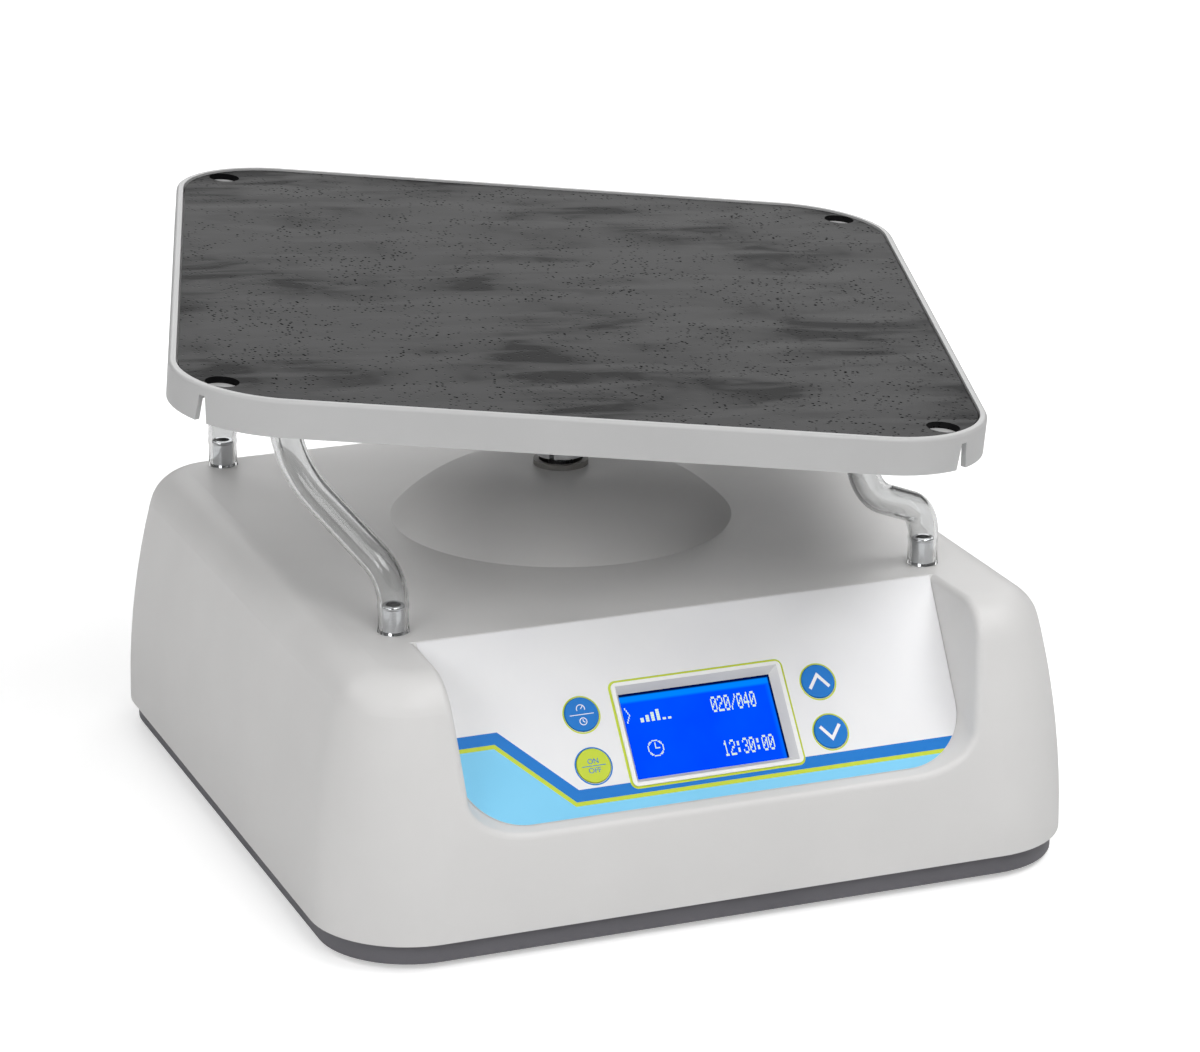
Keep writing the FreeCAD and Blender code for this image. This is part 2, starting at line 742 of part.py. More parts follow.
def make_overlay():
    face = panel_prism(-LABEL_GAP)
    sheet = on_panel(box(-FAR, FAR, -FAR, FAR, -LABEL_THICKNESS, 0))
    label = face.common(sheet).common(box(-FAR, FAR, -FAR, FAR, 0, TOP - LABEL_GAP))
    holes = [
        on_panel(
            box(
                -BEZEL_BODY_WIDTH / 2,
                BEZEL_BODY_WIDTH / 2,
                -BEZEL_BODY_HEIGHT / 2,
                BEZEL_BODY_HEIGHT / 2,
                -HOUSING_WALL,
                HOUSING_WALL,
            )
        )
    ]
    for name, u, v in button_places():
        radius = BUTTON_RADIUS + BUTTON_GAP
        holes.append(on_panel(cylinder(radius, 2 * HOUSING_WALL, u, v, -HOUSING_WALL)))
    return label.cut(holes)


def panel_block(width, height, corner, back, front):
    """A plate with round corners in the panel's frame, centred on the display."""
    half = width / 2
    tall = height / 2
    return rounded_plate(-half, half, -tall, tall, corner, back, front - back)


def make_bezel():
    """Display frame: a thin flange on the label and a body with a bevelled window."""
    flange = panel_block(BEZEL_WIDTH, BEZEL_HEIGHT, BEZEL_CORNER, 0, BEZEL_PROUD)
    body = box(
        -BEZEL_BODY_WIDTH / 2,
        BEZEL_BODY_WIDTH / 2,
        -BEZEL_BODY_HEIGHT / 2,
        BEZEL_BODY_HEIGHT / 2,
        -VIEW_DEPTH,
        0,
    )
    wide = VIEW_WIDTH / 2 + BEZEL_BEVEL
    tall = VIEW_HEIGHT / 2 + BEZEL_BEVEL
    mouth = rectangle(wide, tall, BEZEL_PROUD)
    throat = rectangle(VIEW_WIDTH / 2, VIEW_HEIGHT / 2, -VIEW_DEPTH)
    window = Part.makeLoft([throat, mouth], True, True)
    return on_panel(join([flange, body]).cut(window))


def rectangle(half_x, half_y, z):
    signs = ((-1, -1), (1, -1), (1, 1), (-1, 1))
    points = [vec(sx * half_x, sy * half_y, z) for sx, sy in signs]
    return Part.makePolygon(points + points[:1])


def make_display_glass():
    width = VIEW_WIDTH + 2 * GLASS_MARGIN
    height = VIEW_HEIGHT + 2 * GLASS_MARGIN
    return on_panel(panel_block(width, height, GLASS_MARGIN, GLASS_BACK, GLASS_FRONT))


def make_display_module():
    """The display's metal frame on its small board."""
    width = VIEW_WIDTH + 2 * (GLASS_MARGIN + MODULE_LIP)
    height = VIEW_HEIGHT + 2 * (GLASS_MARGIN + MODULE_LIP)
    frame = panel_block(width, height, GLASS_MARGIN, GLASS_BACK - MODULE_FRAME, GLASS_BACK)
    board = panel_block(MODULE_WIDTH, MODULE_HEIGHT, GLASS_MARGIN, MODULE_BACK, GLASS_BACK - MODULE_FRAME)
    return on_panel(join([frame, board]))


def make_control_board():
    board = panel_block(BOARD_WIDTH, BOARD_HEIGHT, BOARD_BOSS, BOARD_BACK, BOARD_FRONT)
    holes = [cylinder(BOARD_SCREW, BOARD_THICKNESS, u, v, BOARD_BACK) for u, v in board_hole_places()]
    return on_panel(board.cut(holes))


def make_board_screws():
    screws = []
    length = BOARD_THICKNESS + (PANEL_BACK - BOARD_FRONT)
    for u, v in board_hole_places():
        screw = screw_up(u, v, BOARD_BACK, BOARD_SCREW, length, BOARD_SCREW_HEAD, BOARD_SCREW)
        screws.append(on_panel(screw))
    return group(screws)


def make_button_switches():
    """Four small push switches on the control board, one under each button."""
    switches = []
    half = SWITCH_SIDE / 2
    for name, u, v in button_places():
        body = box(u - half, u + half, v - half, v + half, BOARD_FRONT, SWITCH_FRONT)
        bore = cylinder(SWITCH_BORE, SWITCH_BORE_DEPTH, u, v, SWITCH_FRONT - SWITCH_BORE_DEPTH)
        switches.append(on_panel(body.cut(bore)))
    return group(switches)


def make_button(u, v):
    """Round cap with a keeper flange behind the panel and a stem into its switch."""
    cap = cylinder(BUTTON_RADIUS, BUTTON_PROUD - BUTTON_FLANGE_FRONT, u, v, BUTTON_FLANGE_FRONT)
    front = [edge for edge in cap.Edges if edge.CenterOfMass.z > BUTTON_PROUD - 0.01 and edge.Closed]
    cap = cap.makeFillet(BUTTON_PROUD / 2, front)
    flange = cylinder(BUTTON_RADIUS + BUTTON_FLANGE_WIDTH, BUTTON_FLANGE, u, v, BUTTON_FLANGE_BACK)
    stem_end = SWITCH_FRONT + BUTTON_TRAVEL + BUTTON_SEAT
    stem = cylinder(BUTTON_STEM, BUTTON_FLANGE_BACK - stem_end, u, v, stem_end)
    tip_end = SWITCH_FRONT - SWITCH_BORE_DEPTH + BUTTON_TRAVEL + 2 * BUTTON_SEAT
    tip = cylinder(BUTTON_TIP, stem_end - tip_end, u, v, tip_end)
    return on_panel(join([cap, flange, stem, tip]))


LEAN = math.radians(LEAN_AZIMUTH)
LEVEL_AXIS = vec(-math.sin(LEAN), math.cos(LEAN), 0)
PIVOT = FreeCAD.Placement(vec(0, 0, TOP + PIVOT_ABOVE_TOP), FreeCAD.Rotation(LEVEL_AXIS, DECK_TILT))
TURN = FreeCAD.Placement(vec(0, 0, -PIVOT_ABOVE_RIM), FreeCAD.Rotation(vec(0, 0, 1), DECK_TURN))
DECK = PIVOT.multiply(TURN)


def on_deck(shape):
    """Move a shape from the tray's own frame, where Z = 0 is the top of the rim."""
    shape.Placement = DECK.multiply(shape.Placement)
    return shape


def make_tray():
    """Tray with a raised rim, a skirt with a notch at each corner, and ribs below."""
    tray = deck_plan(0.0, -DECK_DEPTH, DECK_DEPTH)
    rim = [edge for edge in tray.Edges if edge.CenterOfMass.z > -0.01]
    tray = tray.makeFillet(RIM_ROUND, rim)
    tray = tray.cut(deck_plan(RIM_WIDTH, DECK_FLOOR, -DECK_FLOOR + RIM_WIDTH))
    tray = tray.cut(deck_plan(DECK_SKIRT, -DECK_DEPTH - RIM_WIDTH, DECK_UNDERSIDE + DECK_DEPTH + RIM_WIDTH))
    tray = tray.cut([corner_notch(sx, sy) for sx in (-1, 1) for sy in (-1, 1)])
    tray = tray.fuse(make_ribs())
    holes = []
    for x, y in mat_hole_places():
        holes.append(cylinder(POST_HOLE, DECK_PLATE, x, y, DECK_UNDERSIDE))
    for x, y in peg_places():
        holes.append(cylinder(DECK_STUD, DECK_PLATE, x, y, DECK_UNDERSIDE))
    for x, y in circle_places(HUB_SCREWS, HUB_SCREW_CIRCLE):
        seat = DECK_FLOOR - HUB_SCREW_HEAD_HEIGHT
        holes.append(cylinder(HUB_SCREW_HEAD, HUB_SCREW_HEAD_HEIGHT, x, y, seat))
        holes.append(cylinder(HUB_SCREW, DECK_PLATE, x, y, DECK_UNDERSIDE))
    return on_deck(tray.cut(holes))


def circle_places(count, radius, x=0.0, y=0.0, start=0.0):
    turns = [math.radians(start + 360.0 * step / count) for step in range(count)]
    return [(x + radius * math.cos(turn), y + radius * math.sin(turn)) for turn in turns]


def mat_hole_places():
    x = DECK_HALF_X - MAT_HOLE_INSET_X
    y = DECK_HALF_Y - MAT_HOLE_INSET_Y
    return [(side * x, end * y) for end in (-1, 1) for side in (-1, 1)]


def corner_notch(side_x, side_y):
    """A tapered slot up the skirt at one corner, for a strap or band."""
    low = -DECK_DEPTH - NOTCH_ROUND
    high = -DECK_DEPTH + NOTCH_HEIGHT
    edges = [
        line(vec(0, -NOTCH_BOTTOM / 2, low), vec(0, NOTCH_BOTTOM / 2, low)),
        line(vec(0, NOTCH_BOTTOM / 2, low), vec(0, NOTCH_TOP / 2, high)),
        line(vec(0, NOTCH_TOP / 2, high), vec(0, -NOTCH_TOP / 2, high)),
        line(vec(0, -NOTCH_TOP / 2, high), vec(0, -NOTCH_BOTTOM / 2, low)),
    ]
    slot = outline_face(edges).extrude(vec(2 * DECK_CORNER, 0, 0))
    x = side_x * (DECK_HALF_X - DECK_CORNER)
    y = side_y * (DECK_HALF_Y - DECK_CORNER)
    turn = math.degrees(math.atan2(side_y, side_x))
    reach = DECK_CORNER - 2 * DECK_SKIRT
    start = FreeCAD.Placement(vec(reach, 0, 0), FreeCAD.Rotation())
    slot.Placement = FreeCAD.Placement(vec(x, y, 0), FreeCAD.Rotation(vec(0, 0, 1), turn)).multiply(start)
    return slot


def make_ribs():
    """Crossed ribs under the tray, stopped at the hub."""
    half = RIB_THICKNESS / 2
    low = DECK_UNDERSIDE - RIB_DEPTH
    high = DECK_UNDERSIDE + DECK_PLATE / 2
    end_x = DECK_HALF_X - DECK_SKIRT / 2
    end_y = DECK_HALF_Y - DECK_SKIRT / 2
    ribs = []
    for at in RIB_X:
        for side in (-1, 1):
            ribs.append(box(side * at - half, side * at + half, -end_y, end_y, low, high))
    for at in RIB_Y:
        for side in (-1, 1):
            ribs.append(box(-end_x, end_x, side * at - half, side * at + half, low, high))
    room = cylinder(HUB_FLANGE + RIB_THICKNESS, 2 * RIB_DEPTH, z=DECK_UNDERSIDE - 2 * RIB_DEPTH)
    web = ribs[0].fuse(ribs[1:]).cut(room)
    return web


def make_mat():
    mat = deck_plan(RIM_WIDTH + MAT_GAP, DECK_FLOOR, MAT_THICKNESS)
    holes = [cylinder(MAT_HOLE, MAT_THICKNESS, x, y, DECK_FLOOR) for x, y in mat_hole_places()]
    return on_deck(mat.cut(holes))


def make_deck_hub():
    """Flanged bearing housing under the tray."""
    flange = cylinder(HUB_FLANGE, HUB_FLANGE_HEIGHT, z=DECK_UNDERSIDE - HUB_FLANGE_HEIGHT)
    barrel = cylinder(HUB_BARREL, HUB_DEPTH, z=HUB_BOTTOM)
    upper_seat = DECK_UNDERSIDE - BEARING_TOP_GAP - BEARING_WIDTH
    cuts = [
        cylinder(BEARING_OUTER, BEARING_TOP_GAP + BEARING_WIDTH, z=upper_seat),
        cylinder(BEARING_SHOULDER, HUB_DEPTH, z=HUB_BOTTOM),
        cylinder(BEARING_OUTER, LOWER_DECK_BEARING + BEARING_WIDTH - HUB_BOTTOM, z=HUB_BOTTOM),
    ]
    for x, y in circle_places(HUB_SCREWS, HUB_SCREW_CIRCLE):
        cuts.append(cylinder(HUB_SCREW, HUB_FLANGE_HEIGHT, x, y, DECK_UNDERSIDE - HUB_FLANGE_HEIGHT))
    return on_deck(join([flange, barrel]).cut(cuts))


UPPER_DECK_BEARING = DECK_UNDERSIDE - BEARING_TOP_GAP - BEARING_WIDTH
LOWER_DECK_BEARING = HUB_BOTTOM + BEARING_INSET
PIN_TOP = UPPER_DECK_BEARING + BEARING_WIDTH + BUTTON_SEAT
CRANK_TOP = HUB_BOTTOM - HUB_GAP


def bearing(z):
    """Sealed ball bearing: races with a shallow groove and shield on each face."""
    body = ring(BEARING_OUTER, SHAFT_RADIUS + BEARING_PLAY, BEARING_WIDTH, z)
    grooves = [
        ring(SHIELD_OUTER, SHIELD_INNER, BEARING_GROOVE, z),
        ring(SHIELD_OUTER, SHIELD_INNER, BEARING_GROOVE, z + BEARING_WIDTH - BEARING_GROOVE),
    ]
    return body.cut(grooves)


def make_hub_screws():
    screws = []
    seat = DECK_FLOOR - HUB_SCREW_HEAD_HEIGHT
    length = DECK_PLATE - HUB_SCREW_HEAD_HEIGHT + HUB_FLANGE_HEIGHT
    for x, y in circle_places(HUB_SCREWS, HUB_SCREW_CIRCLE):
        screws.append(
            on_deck(screw_down(x, y, seat, HUB_SCREW, length, HUB_SCREW_HEAD, HUB_SCREW_HEAD_HEIGHT))
        )
    return group(screws)


def peg(x, y, foot, way, height, stud, stud_length):
    """A metal peg with a hollow tip; way is 1 for upwards and -1 for downwards."""
    body = cylinder(PEG_RADIUS, height, x, y, foot, (0, 0, way))
    lip = cylinder(PEG_LIP, PEG_LIP_HEIGHT, x, y, foot + way * (height - PEG_LIP_HEIGHT), (0, 0, way))
    lip = lip.makeFillet(PEG_LIP_HEIGHT / 2 - BUTTON_SEAT, [edge for edge in lip.Edges if edge.Closed])
    hollow = cylinder(PEG_BORE, PEG_BORE_DEPTH, x, y, foot + way * (height - PEG_BORE_DEPTH), (0, 0, way))
    root = cylinder(stud, stud_length, x, y, foot, (0, 0, -way))
    return join([body, lip, root]).cut(hollow)


def make_base_pegs():
    return group([peg(x, y, TOP, 1, PEG_HEIGHT, PEG_STUD, PEG_STUD_LENGTH) for x, y in peg_places()])


def make_deck_pegs():
    pegs = [peg(x, y, DECK_UNDERSIDE, -1, DECK_PEG_LENGTH, DECK_STUD, DECK_PLATE) for x, y in peg_places()]
    return group([on_deck(solid) for solid in pegs])


def make_peg_nuts():
    nuts = []
    circle = NUT_ACROSS / math.sqrt(3)
    for x, y in peg_places():
        corners = [vec(cx, cy, CEILING - NUT_HEIGHT) for cx, cy in circle_places(6, circle, x, y)]
        blank = Part.Face(Part.makePolygon(corners + corners[:1])).extrude(vec(0, 0, NUT_HEIGHT))
        nuts.append(blank.cut(cylinder(PEG_STUD, NUT_HEIGHT, x, y, CEILING - NUT_HEIGHT)))
    return group(nuts)


def bent_path(points, reaches):
    """Straight runs joined by tangent arcs, each of which starts a reach before its corner."""
    edges = []
    start = points[0]
    for before, corner, after, reach in zip(points, points[1:], points[2:], reaches):
        back = (before - corner).normalize()
        ahead = (after - corner).normalize()
        half = back.getAngle(ahead) / 2
        radius = reach * math.tan(half)
        middle = (back + ahead).normalize()
        enter = corner + back * reach
        leave = corner + ahead * reach
        through = corner + middle * (radius / math.sin(half) - radius)
        edges.append(line(start, enter))
        edges.append(arc(enter, through, leave))
        start = leave
    edges.append(line(start, points[-1]))
    return edges


def make_clear_tube(x, y):
    """Soft clear tube, pushed over a base peg and over the tray's own peg."""
    points = [
        vec(x, y, TOP + TUBE_END_GAP),
        vec(x, y, TOP + TUBE_RISE),
        DECK.multVec(vec(x, y, DECK_UNDERSIDE - TUBE_DROP)),
        DECK.multVec(vec(x, y, DECK_UNDERSIDE - TUBE_END_GAP)),
    ]
    low_reach = TUBE_RISE - PEG_HEIGHT - TUBE_STRAIGHT
    high_reach = TUBE_DROP - DECK_PEG_LENGTH - TUBE_STRAIGHT
    path = Part.Wire(bent_path(points, (low_reach, high_reach)))
    skins = []
    for radius in (TUBE_OUTER, TUBE_INNER):
        circle = Part.Wire(Part.makeCircle(radius, points[0], vec(0, 0, 1)))
        skins.append(path.makePipeShell([circle], True, True))
    return skins[0].cut(skins[1])


def make_crank_pin():
    """The tilted pin: bearing seat, shoulder, and a shank pressed into the crank hub."""
    seat = cylinder(SHAFT_RADIUS, PIN_TOP - CRANK_TOP, z=CRANK_TOP)
    shoulder = cylinder(PIN_SHOULDER, LOWER_DECK_BEARING - BUTTON_SEAT - CRANK_TOP, z=CRANK_TOP)
    shank = cylinder(SHAFT_RADIUS, PIN_SEAT, z=CRANK_TOP - PIN_SEAT)
    bore = cylinder(PIN_CAP_SHANK, PIN_CAP_DEPTH, z=PIN_TOP - PIN_CAP_DEPTH)
    return on_deck(join([seat, shoulder, shank]).cut(bore))


def make_pin_cap():
    washer = cylinder(PIN_CAP, PIN_CAP_THICKNESS, z=PIN_TOP)
    head = cylinder(PIN_CAP_HEAD, PIN_CAP_HEAD_HEIGHT, z=PIN_TOP + PIN_CAP_THICKNESS)
    shank = cylinder(PIN_CAP_SHANK, PIN_CAP_DEPTH, z=PIN_TOP - PIN_CAP_DEPTH)
    key_depth = PIN_CAP_HEAD_HEIGHT / 2
    key = cylinder(PIN_CAP_SHANK, key_depth, z=PIN_TOP + PIN_CAP_THICKNESS + key_depth)
    return on_deck(join([washer, head, shank]).cut(key))


CLAMP_LEVEL = CRANK_COLLAR_BOTTOM + CLAMP_SCREW_RISE


def across_slit(radius, start, length):
    """A round bar across the clamp slit, at right angles to it."""
    bar = cylinder(radius, length, CLAMP_SCREW_OFFSET, start, CLAMP_LEVEL, (0, 1, 0))
    bar.Placement = FreeCAD.Placement(vec(0, 0, 0), FreeCAD.Rotation(vec(0, 0, 1), CRANK_SLIT_AZIMUTH))
    return bar


def make_crank_hub():
    """Split clamp on the upright shaft, and a head bored at the tray's lean."""
    collar = cylinder(CRANK_COLLAR, CRANK_HEAD_BOTTOM - CRANK_COLLAR_BOTTOM, z=CRANK_COLLAR_BOTTOM)
    head = cylinder(CRANK_HEAD, TOP, z=CRANK_HEAD_BOTTOM)
    under = [edge for edge in head.Edges if edge.Closed and edge.CenterOfMass.z < CRANK_HEAD_BOTTOM + 0.01]
    head = head.makeFillet(CRANK_HEAD_ROUND, under)
    head = head.common(on_deck(box(-FAR, FAR, -FAR, FAR, CRANK_TOP - FAR, CRANK_TOP)))
    slit = box(
        0,
        CRANK_HEAD,
        -CRANK_SLIT / 2,
        CRANK_SLIT / 2,
        CRANK_COLLAR_BOTTOM - 1.0,
        CRANK_COLLAR_BOTTOM + CRANK_SLIT_HEIGHT,
    )
    slit.Placement = FreeCAD.Placement(vec(0, 0, 0), FreeCAD.Rotation(vec(0, 0, 1), CRANK_SLIT_AZIMUTH))
    bores = [
        cylinder(SHAFT_RADIUS, SHAFT_TOP - CRANK_COLLAR_BOTTOM, z=CRANK_COLLAR_BOTTOM),
        on_deck(cylinder(SHAFT_RADIUS, PIN_SEAT, z=CRANK_TOP - PIN_SEAT)),
        slit,
        across_slit(CLAMP_SCREW, -CLAMP_SCREW_SEAT, 2 * CLAMP_SCREW_SEAT),
        across_slit(CLAMP_SCREW_HEAD, CLAMP_SCREW_SEAT, CRANK_COLLAR),
    ]
    return join([collar, head]).cut(bores)


def make_clamp_screw():
    shank = across_slit(CLAMP_SCREW, -CLAMP_SCREW_SEAT, 2 * CLAMP_SCREW_SEAT)
    return shank.fuse(across_slit(CLAMP_SCREW_HEAD, CLAMP_SCREW_SEAT, 2 * CLAMP_SCREW))


def make_main_shaft():
    """Upright shaft with the shoulder that rides on the upper bearing."""
    shaft = cylinder(SHAFT_RADIUS, SHAFT_TOP - SHAFT_BOTTOM, z=SHAFT_BOTTOM)
    shoulder = cylinder(SHAFT_SHOULDER, SHAFT_SHOULDER_HEIGHT, z=TOWER_TOP + BUTTON_SEAT)
    return join([shaft, shoulder])


def make_shaft_collar():
    level = LOWER_TOWER_BEARING - BUTTON_SEAT - SHAFT_COLLAR_HEIGHT
    return ring(SHAFT_COLLAR, SHAFT_RADIUS, SHAFT_COLLAR_HEIGHT, level)


LOWER_TOWER_BEARING = PLATE_TOP
UPPER_TOWER_BEARING = TOWER_TOP - BEARING_WIDTH


def make_bearing_tower():
    """Flanged tube on the drive plate that carries the shaft up into the dome."""
    flange = cylinder(TOWER_FLANGE, TOWER_FLANGE_HEIGHT, z=PLATE_TOP)
    barrel = cylinder(TOWER_BARREL, TOWER_TOP - PLATE_TOP, z=PLATE_TOP)
    root = vec(TOWER_BARREL - TOWER_RIB_INSET / 2, 0, PLATE_TOP)
    toe = vec(TOWER_FLANGE - TOWER_RIB_INSET, 0, PLATE_TOP)
    peak = root + vec(0, 0, TOWER_RIB_HEIGHT)
    edges = [line(root, toe), line(toe, peak), line(peak, root)]
    pieces = [flange, barrel]
    for step in range(TOWER_RIBS):
        web = outline_face(edges).extrude(vec(0, PLATE_THICKNESS, 0))
        web.translate(vec(0, -PLATE_THICKNESS / 2, 0))
        web.rotate(vec(0, 0, 0), vec(0, 0, 1), 360.0 * step / TOWER_RIBS)
        pieces.append(web)
    cuts = [
        cylinder(BEARING_SHOULDER, TOWER_TOP - PLATE_TOP, z=PLATE_TOP),
        cylinder(BEARING_OUTER, BEARING_WIDTH, z=LOWER_TOWER_BEARING),
        cylinder(BEARING_OUTER, BEARING_WIDTH, z=UPPER_TOWER_BEARING),
    ]
    for x, y in circle_places(TOWER_SCREWS, TOWER_SCREW_CIRCLE, start=QUARTER_TURN / 2):
        cuts.append(cylinder(TOWER_SCREW, TOWER_FLANGE_HEIGHT, x, y, PLATE_TOP))
    return join(pieces).cut(cuts)


def make_tower_screws():
    screws = []
    length = TOWER_FLANGE_HEIGHT + PLATE_THICKNESS
    for x, y in circle_places(TOWER_SCREWS, TOWER_SCREW_CIRCLE, start=QUARTER_TURN / 2):
        seat = PLATE_TOP + TOWER_FLANGE_HEIGHT
        screws.append(
            screw_down(x, y, seat, TOWER_SCREW, length, TOWER_SCREW_HEAD, TOWER_SCREW_HEAD_HEIGHT)
        )
    return group(screws)


def pillar_places():
    xs = (PLATE_LEFT + PILLAR_INSET, PLATE_RIGHT - PILLAR_INSET)
    y = PLATE_HALF_Y - PILLAR_INSET
    return [(x, side * y) for x in xs for side in (-1, 1)]


def make_drive_plate():
    plate = rounded_plate(
        PLATE_LEFT,
        PLATE_RIGHT,
        -PLATE_HALF_Y,
        PLATE_HALF_Y,
        PLATE_CORNER,
        PLATE_LEVEL,
        PLATE_THICKNESS,
    )
    holes = [
        cylinder(PLATE_BORE, PLATE_THICKNESS, z=PLATE_LEVEL),
        cylinder(GEARBOX_PILOT, PLATE_THICKNESS, MOTOR_X, 0, PLATE_LEVEL),
    ]
    for x, y in pillar_places():
        holes.append(cylinder(PILLAR_SCREW, PLATE_THICKNESS, x, y, PLATE_LEVEL))
    for x, y in circle_places(TOWER_SCREWS, TOWER_SCREW_CIRCLE, start=QUARTER_TURN / 2):
        holes.append(cylinder(TOWER_SCREW, PLATE_THICKNESS, x, y, PLATE_LEVEL))
    for x, y in circle_places(MOTOR_SCREWS, MOTOR_SCREW_CIRCLE, MOTOR_X, start=QUARTER_TURN / 2):
        holes.append(cylinder(MOTOR_SCREW, PLATE_THICKNESS, x, y, PLATE_LEVEL))
    return plate.cut(holes)


def make_pillars():
    pillars = []
    for x, y in pillar_places():
        pillars.append(ring(PILLAR_RADIUS, PILLAR_SCREW, PLATE_LEVEL - PAN_TOP, PAN_TOP, x, y))
    return group(pillars)


def make_pillar_screws():
    screws = []
    for x, y in pillar_places():
        length = PLATE_TOP - PAN_UNDERSIDE
        screws.append(
            screw_down(x, y, PLATE_TOP, PILLAR_SCREW, length, PILLAR_SCREW_HEAD, PILLAR_SCREW_HEAD_HEIGHT)
        )
    return group(screws)


def toothed_disc(teeth, level, height):
    """Timing pulley blank with straight-sided tooth gaps."""
    pitch_radius = teeth * BELT_PITCH / (2 * math.pi)
    tip = pitch_radius - TOOTH_TIP
    root = tip - TOOTH_DEPTH
    step = 2 * math.pi / teeth
    points = []
    for tooth in range(teeth):
        for share, radius in ((-0.30, tip), (0.30, tip), (0.38, root), (0.62, root)):
            turn = (tooth + share) * step
            points.append(vec(radius * math.cos(turn), radius * math.sin(turn), level))
    return Part.Face(Part.makePolygon(points + points[:1])).extrude(vec(0, 0, height))


def pulley(teeth, hub, bore, x):
    """Toothed wheel with two belt flanges and a hub above."""
    tip = teeth * BELT_PITCH / (2 * math.pi) - TOOTH_TIP
    rim = tip + BELT_THICKNESS + BELT_CLEARANCE
    wheel = [
        toothed_disc(teeth, PULLEY_LEVEL, PULLEY_WIDTH),
        cylinder(rim, PULLEY_FLANGE, z=PULLEY_LEVEL - PULLEY_FLANGE),
        cylinder(rim, PULLEY_FLANGE, z=PULLEY_LEVEL + PULLEY_WIDTH),
        cylinder(hub, PULLEY_HUB_HEIGHT, z=PULLEY_LEVEL + PULLEY_WIDTH + PULLEY_FLANGE),
    ]
    height = PULLEY_WIDTH + 2 * PULLEY_FLANGE + PULLEY_HUB_HEIGHT
    solid = join(wheel).cut(cylinder(bore, height, z=PULLEY_LEVEL - PULLEY_FLANGE))
    solid.translate(vec(x, 0, 0))
    return solid


def make_driven_pulley():
    solid = pulley(DRIVEN_TEETH, PULLEY_HUB, SHAFT_RADIUS, 0.0)
    holes = []
    for x, y in circle_places(LIGHTENING_HOLES, LIGHTENING_CIRCLE):
        depth = PULLEY_WIDTH + 2 * PULLEY_FLANGE
        holes.append(cylinder(LIGHTENING_HOLE, depth, x, y, PULLEY_LEVEL - PULLEY_FLANGE))
    return solid.cut(holes)


def belt_loop(grow, level, height):
    """Solid inside a loop round both pulleys, grow outside the tooth tips."""
    big = DRIVEN_PITCH_RADIUS - TOOTH_TIP + grow
    small = MOTOR_PITCH_RADIUS - TOOTH_TIP + grow
    lean = math.asin((big - small) / MOTOR_X)
    touch = math.pi / 2 - lean
    big_up = vec(big * math.cos(touch), big * math.sin(touch), level)
    big_down = vec(big * math.cos(touch), -big * math.sin(touch), level)
    small_up = vec(MOTOR_X + small * math.cos(touch), small * math.sin(touch), level)
    small_down = vec(MOTOR_X + small * math.cos(touch), -small * math.sin(touch), level)
    edges = [
        line(big_up, small_up),
        arc(small_up, vec(MOTOR_X + small, 0, level), small_down),
        line(small_down, big_down),
        arc(big_down, vec(-big, 0, level), big_up),
    ]
    return outline_face(edges).extrude(vec(0, 0, height))


def make_belt():
    level = PULLEY_LEVEL + (PULLEY_WIDTH - BELT_WIDTH) / 2
    outer = belt_loop(BELT_CLEARANCE + BELT_THICKNESS, level, BELT_WIDTH)
    return outer.cut(belt_loop(BELT_CLEARANCE, level, BELT_WIDTH))


def make_motor_shaft():
    height = PLATE_TOP + MOTOR_SHAFT_IN_BOX - MOTOR_SHAFT_BOTTOM
    return cylinder(MOTOR_SHAFT, height, MOTOR_X, 0, MOTOR_SHAFT_BOTTOM)


def make_gearbox():
    body = cylinder(GEARBOX_RADIUS, GEARBOX_HEIGHT, MOTOR_X, 0, PLATE_TOP)
    pilot = cylinder(GEARBOX_PILOT, PLATE_THICKNESS, MOTOR_X, 0, PLATE_LEVEL)
    bore_radius = MOTOR_SHAFT + BEARING_PLAY
    depth = PLATE_THICKNESS + MOTOR_SHAFT_IN_BOX + BUTTON_SEAT
    cuts = [cylinder(bore_radius, depth, MOTOR_X, 0, PLATE_LEVEL)]
    for x, y in circle_places(MOTOR_SCREWS, MOTOR_SCREW_CIRCLE, MOTOR_X, start=QUARTER_TURN / 2):
        cuts.append(cylinder(MOTOR_SCREW, MOTOR_SCREW_DEPTH, x, y, PLATE_TOP))
    return join([body, pilot]).cut(cuts)


def make_motor():
    level = PLATE_TOP + GEARBOX_HEIGHT
    can = cylinder(MOTOR_RADIUS, MOTOR_HEIGHT, MOTOR_X, 0, level)
    rim = [edge for edge in can.Edges if edge.Closed and edge.CenterOfMass.z > level + 1.0]
    can = can.makeFillet(PLATE_THICKNESS / 2, rim)
    return join([can, cylinder(GEARBOX_PILOT, PLATE_THICKNESS, MOTOR_X, 0, level + MOTOR_HEIGHT - 1.0)])


def make_motor_screws():
    screws = []
    length = PLATE_THICKNESS + MOTOR_SCREW_DEPTH
    for x, y in circle_places(MOTOR_SCREWS, MOTOR_SCREW_CIRCLE, MOTOR_X, start=QUARTER_TURN / 2):
        screws.append(
            screw_up(x, y, PLATE_LEVEL, MOTOR_SCREW, length, MOTOR_SCREW_HEAD, MOTOR_SCREW_HEAD_HEIGHT)
        )
    return group(screws)


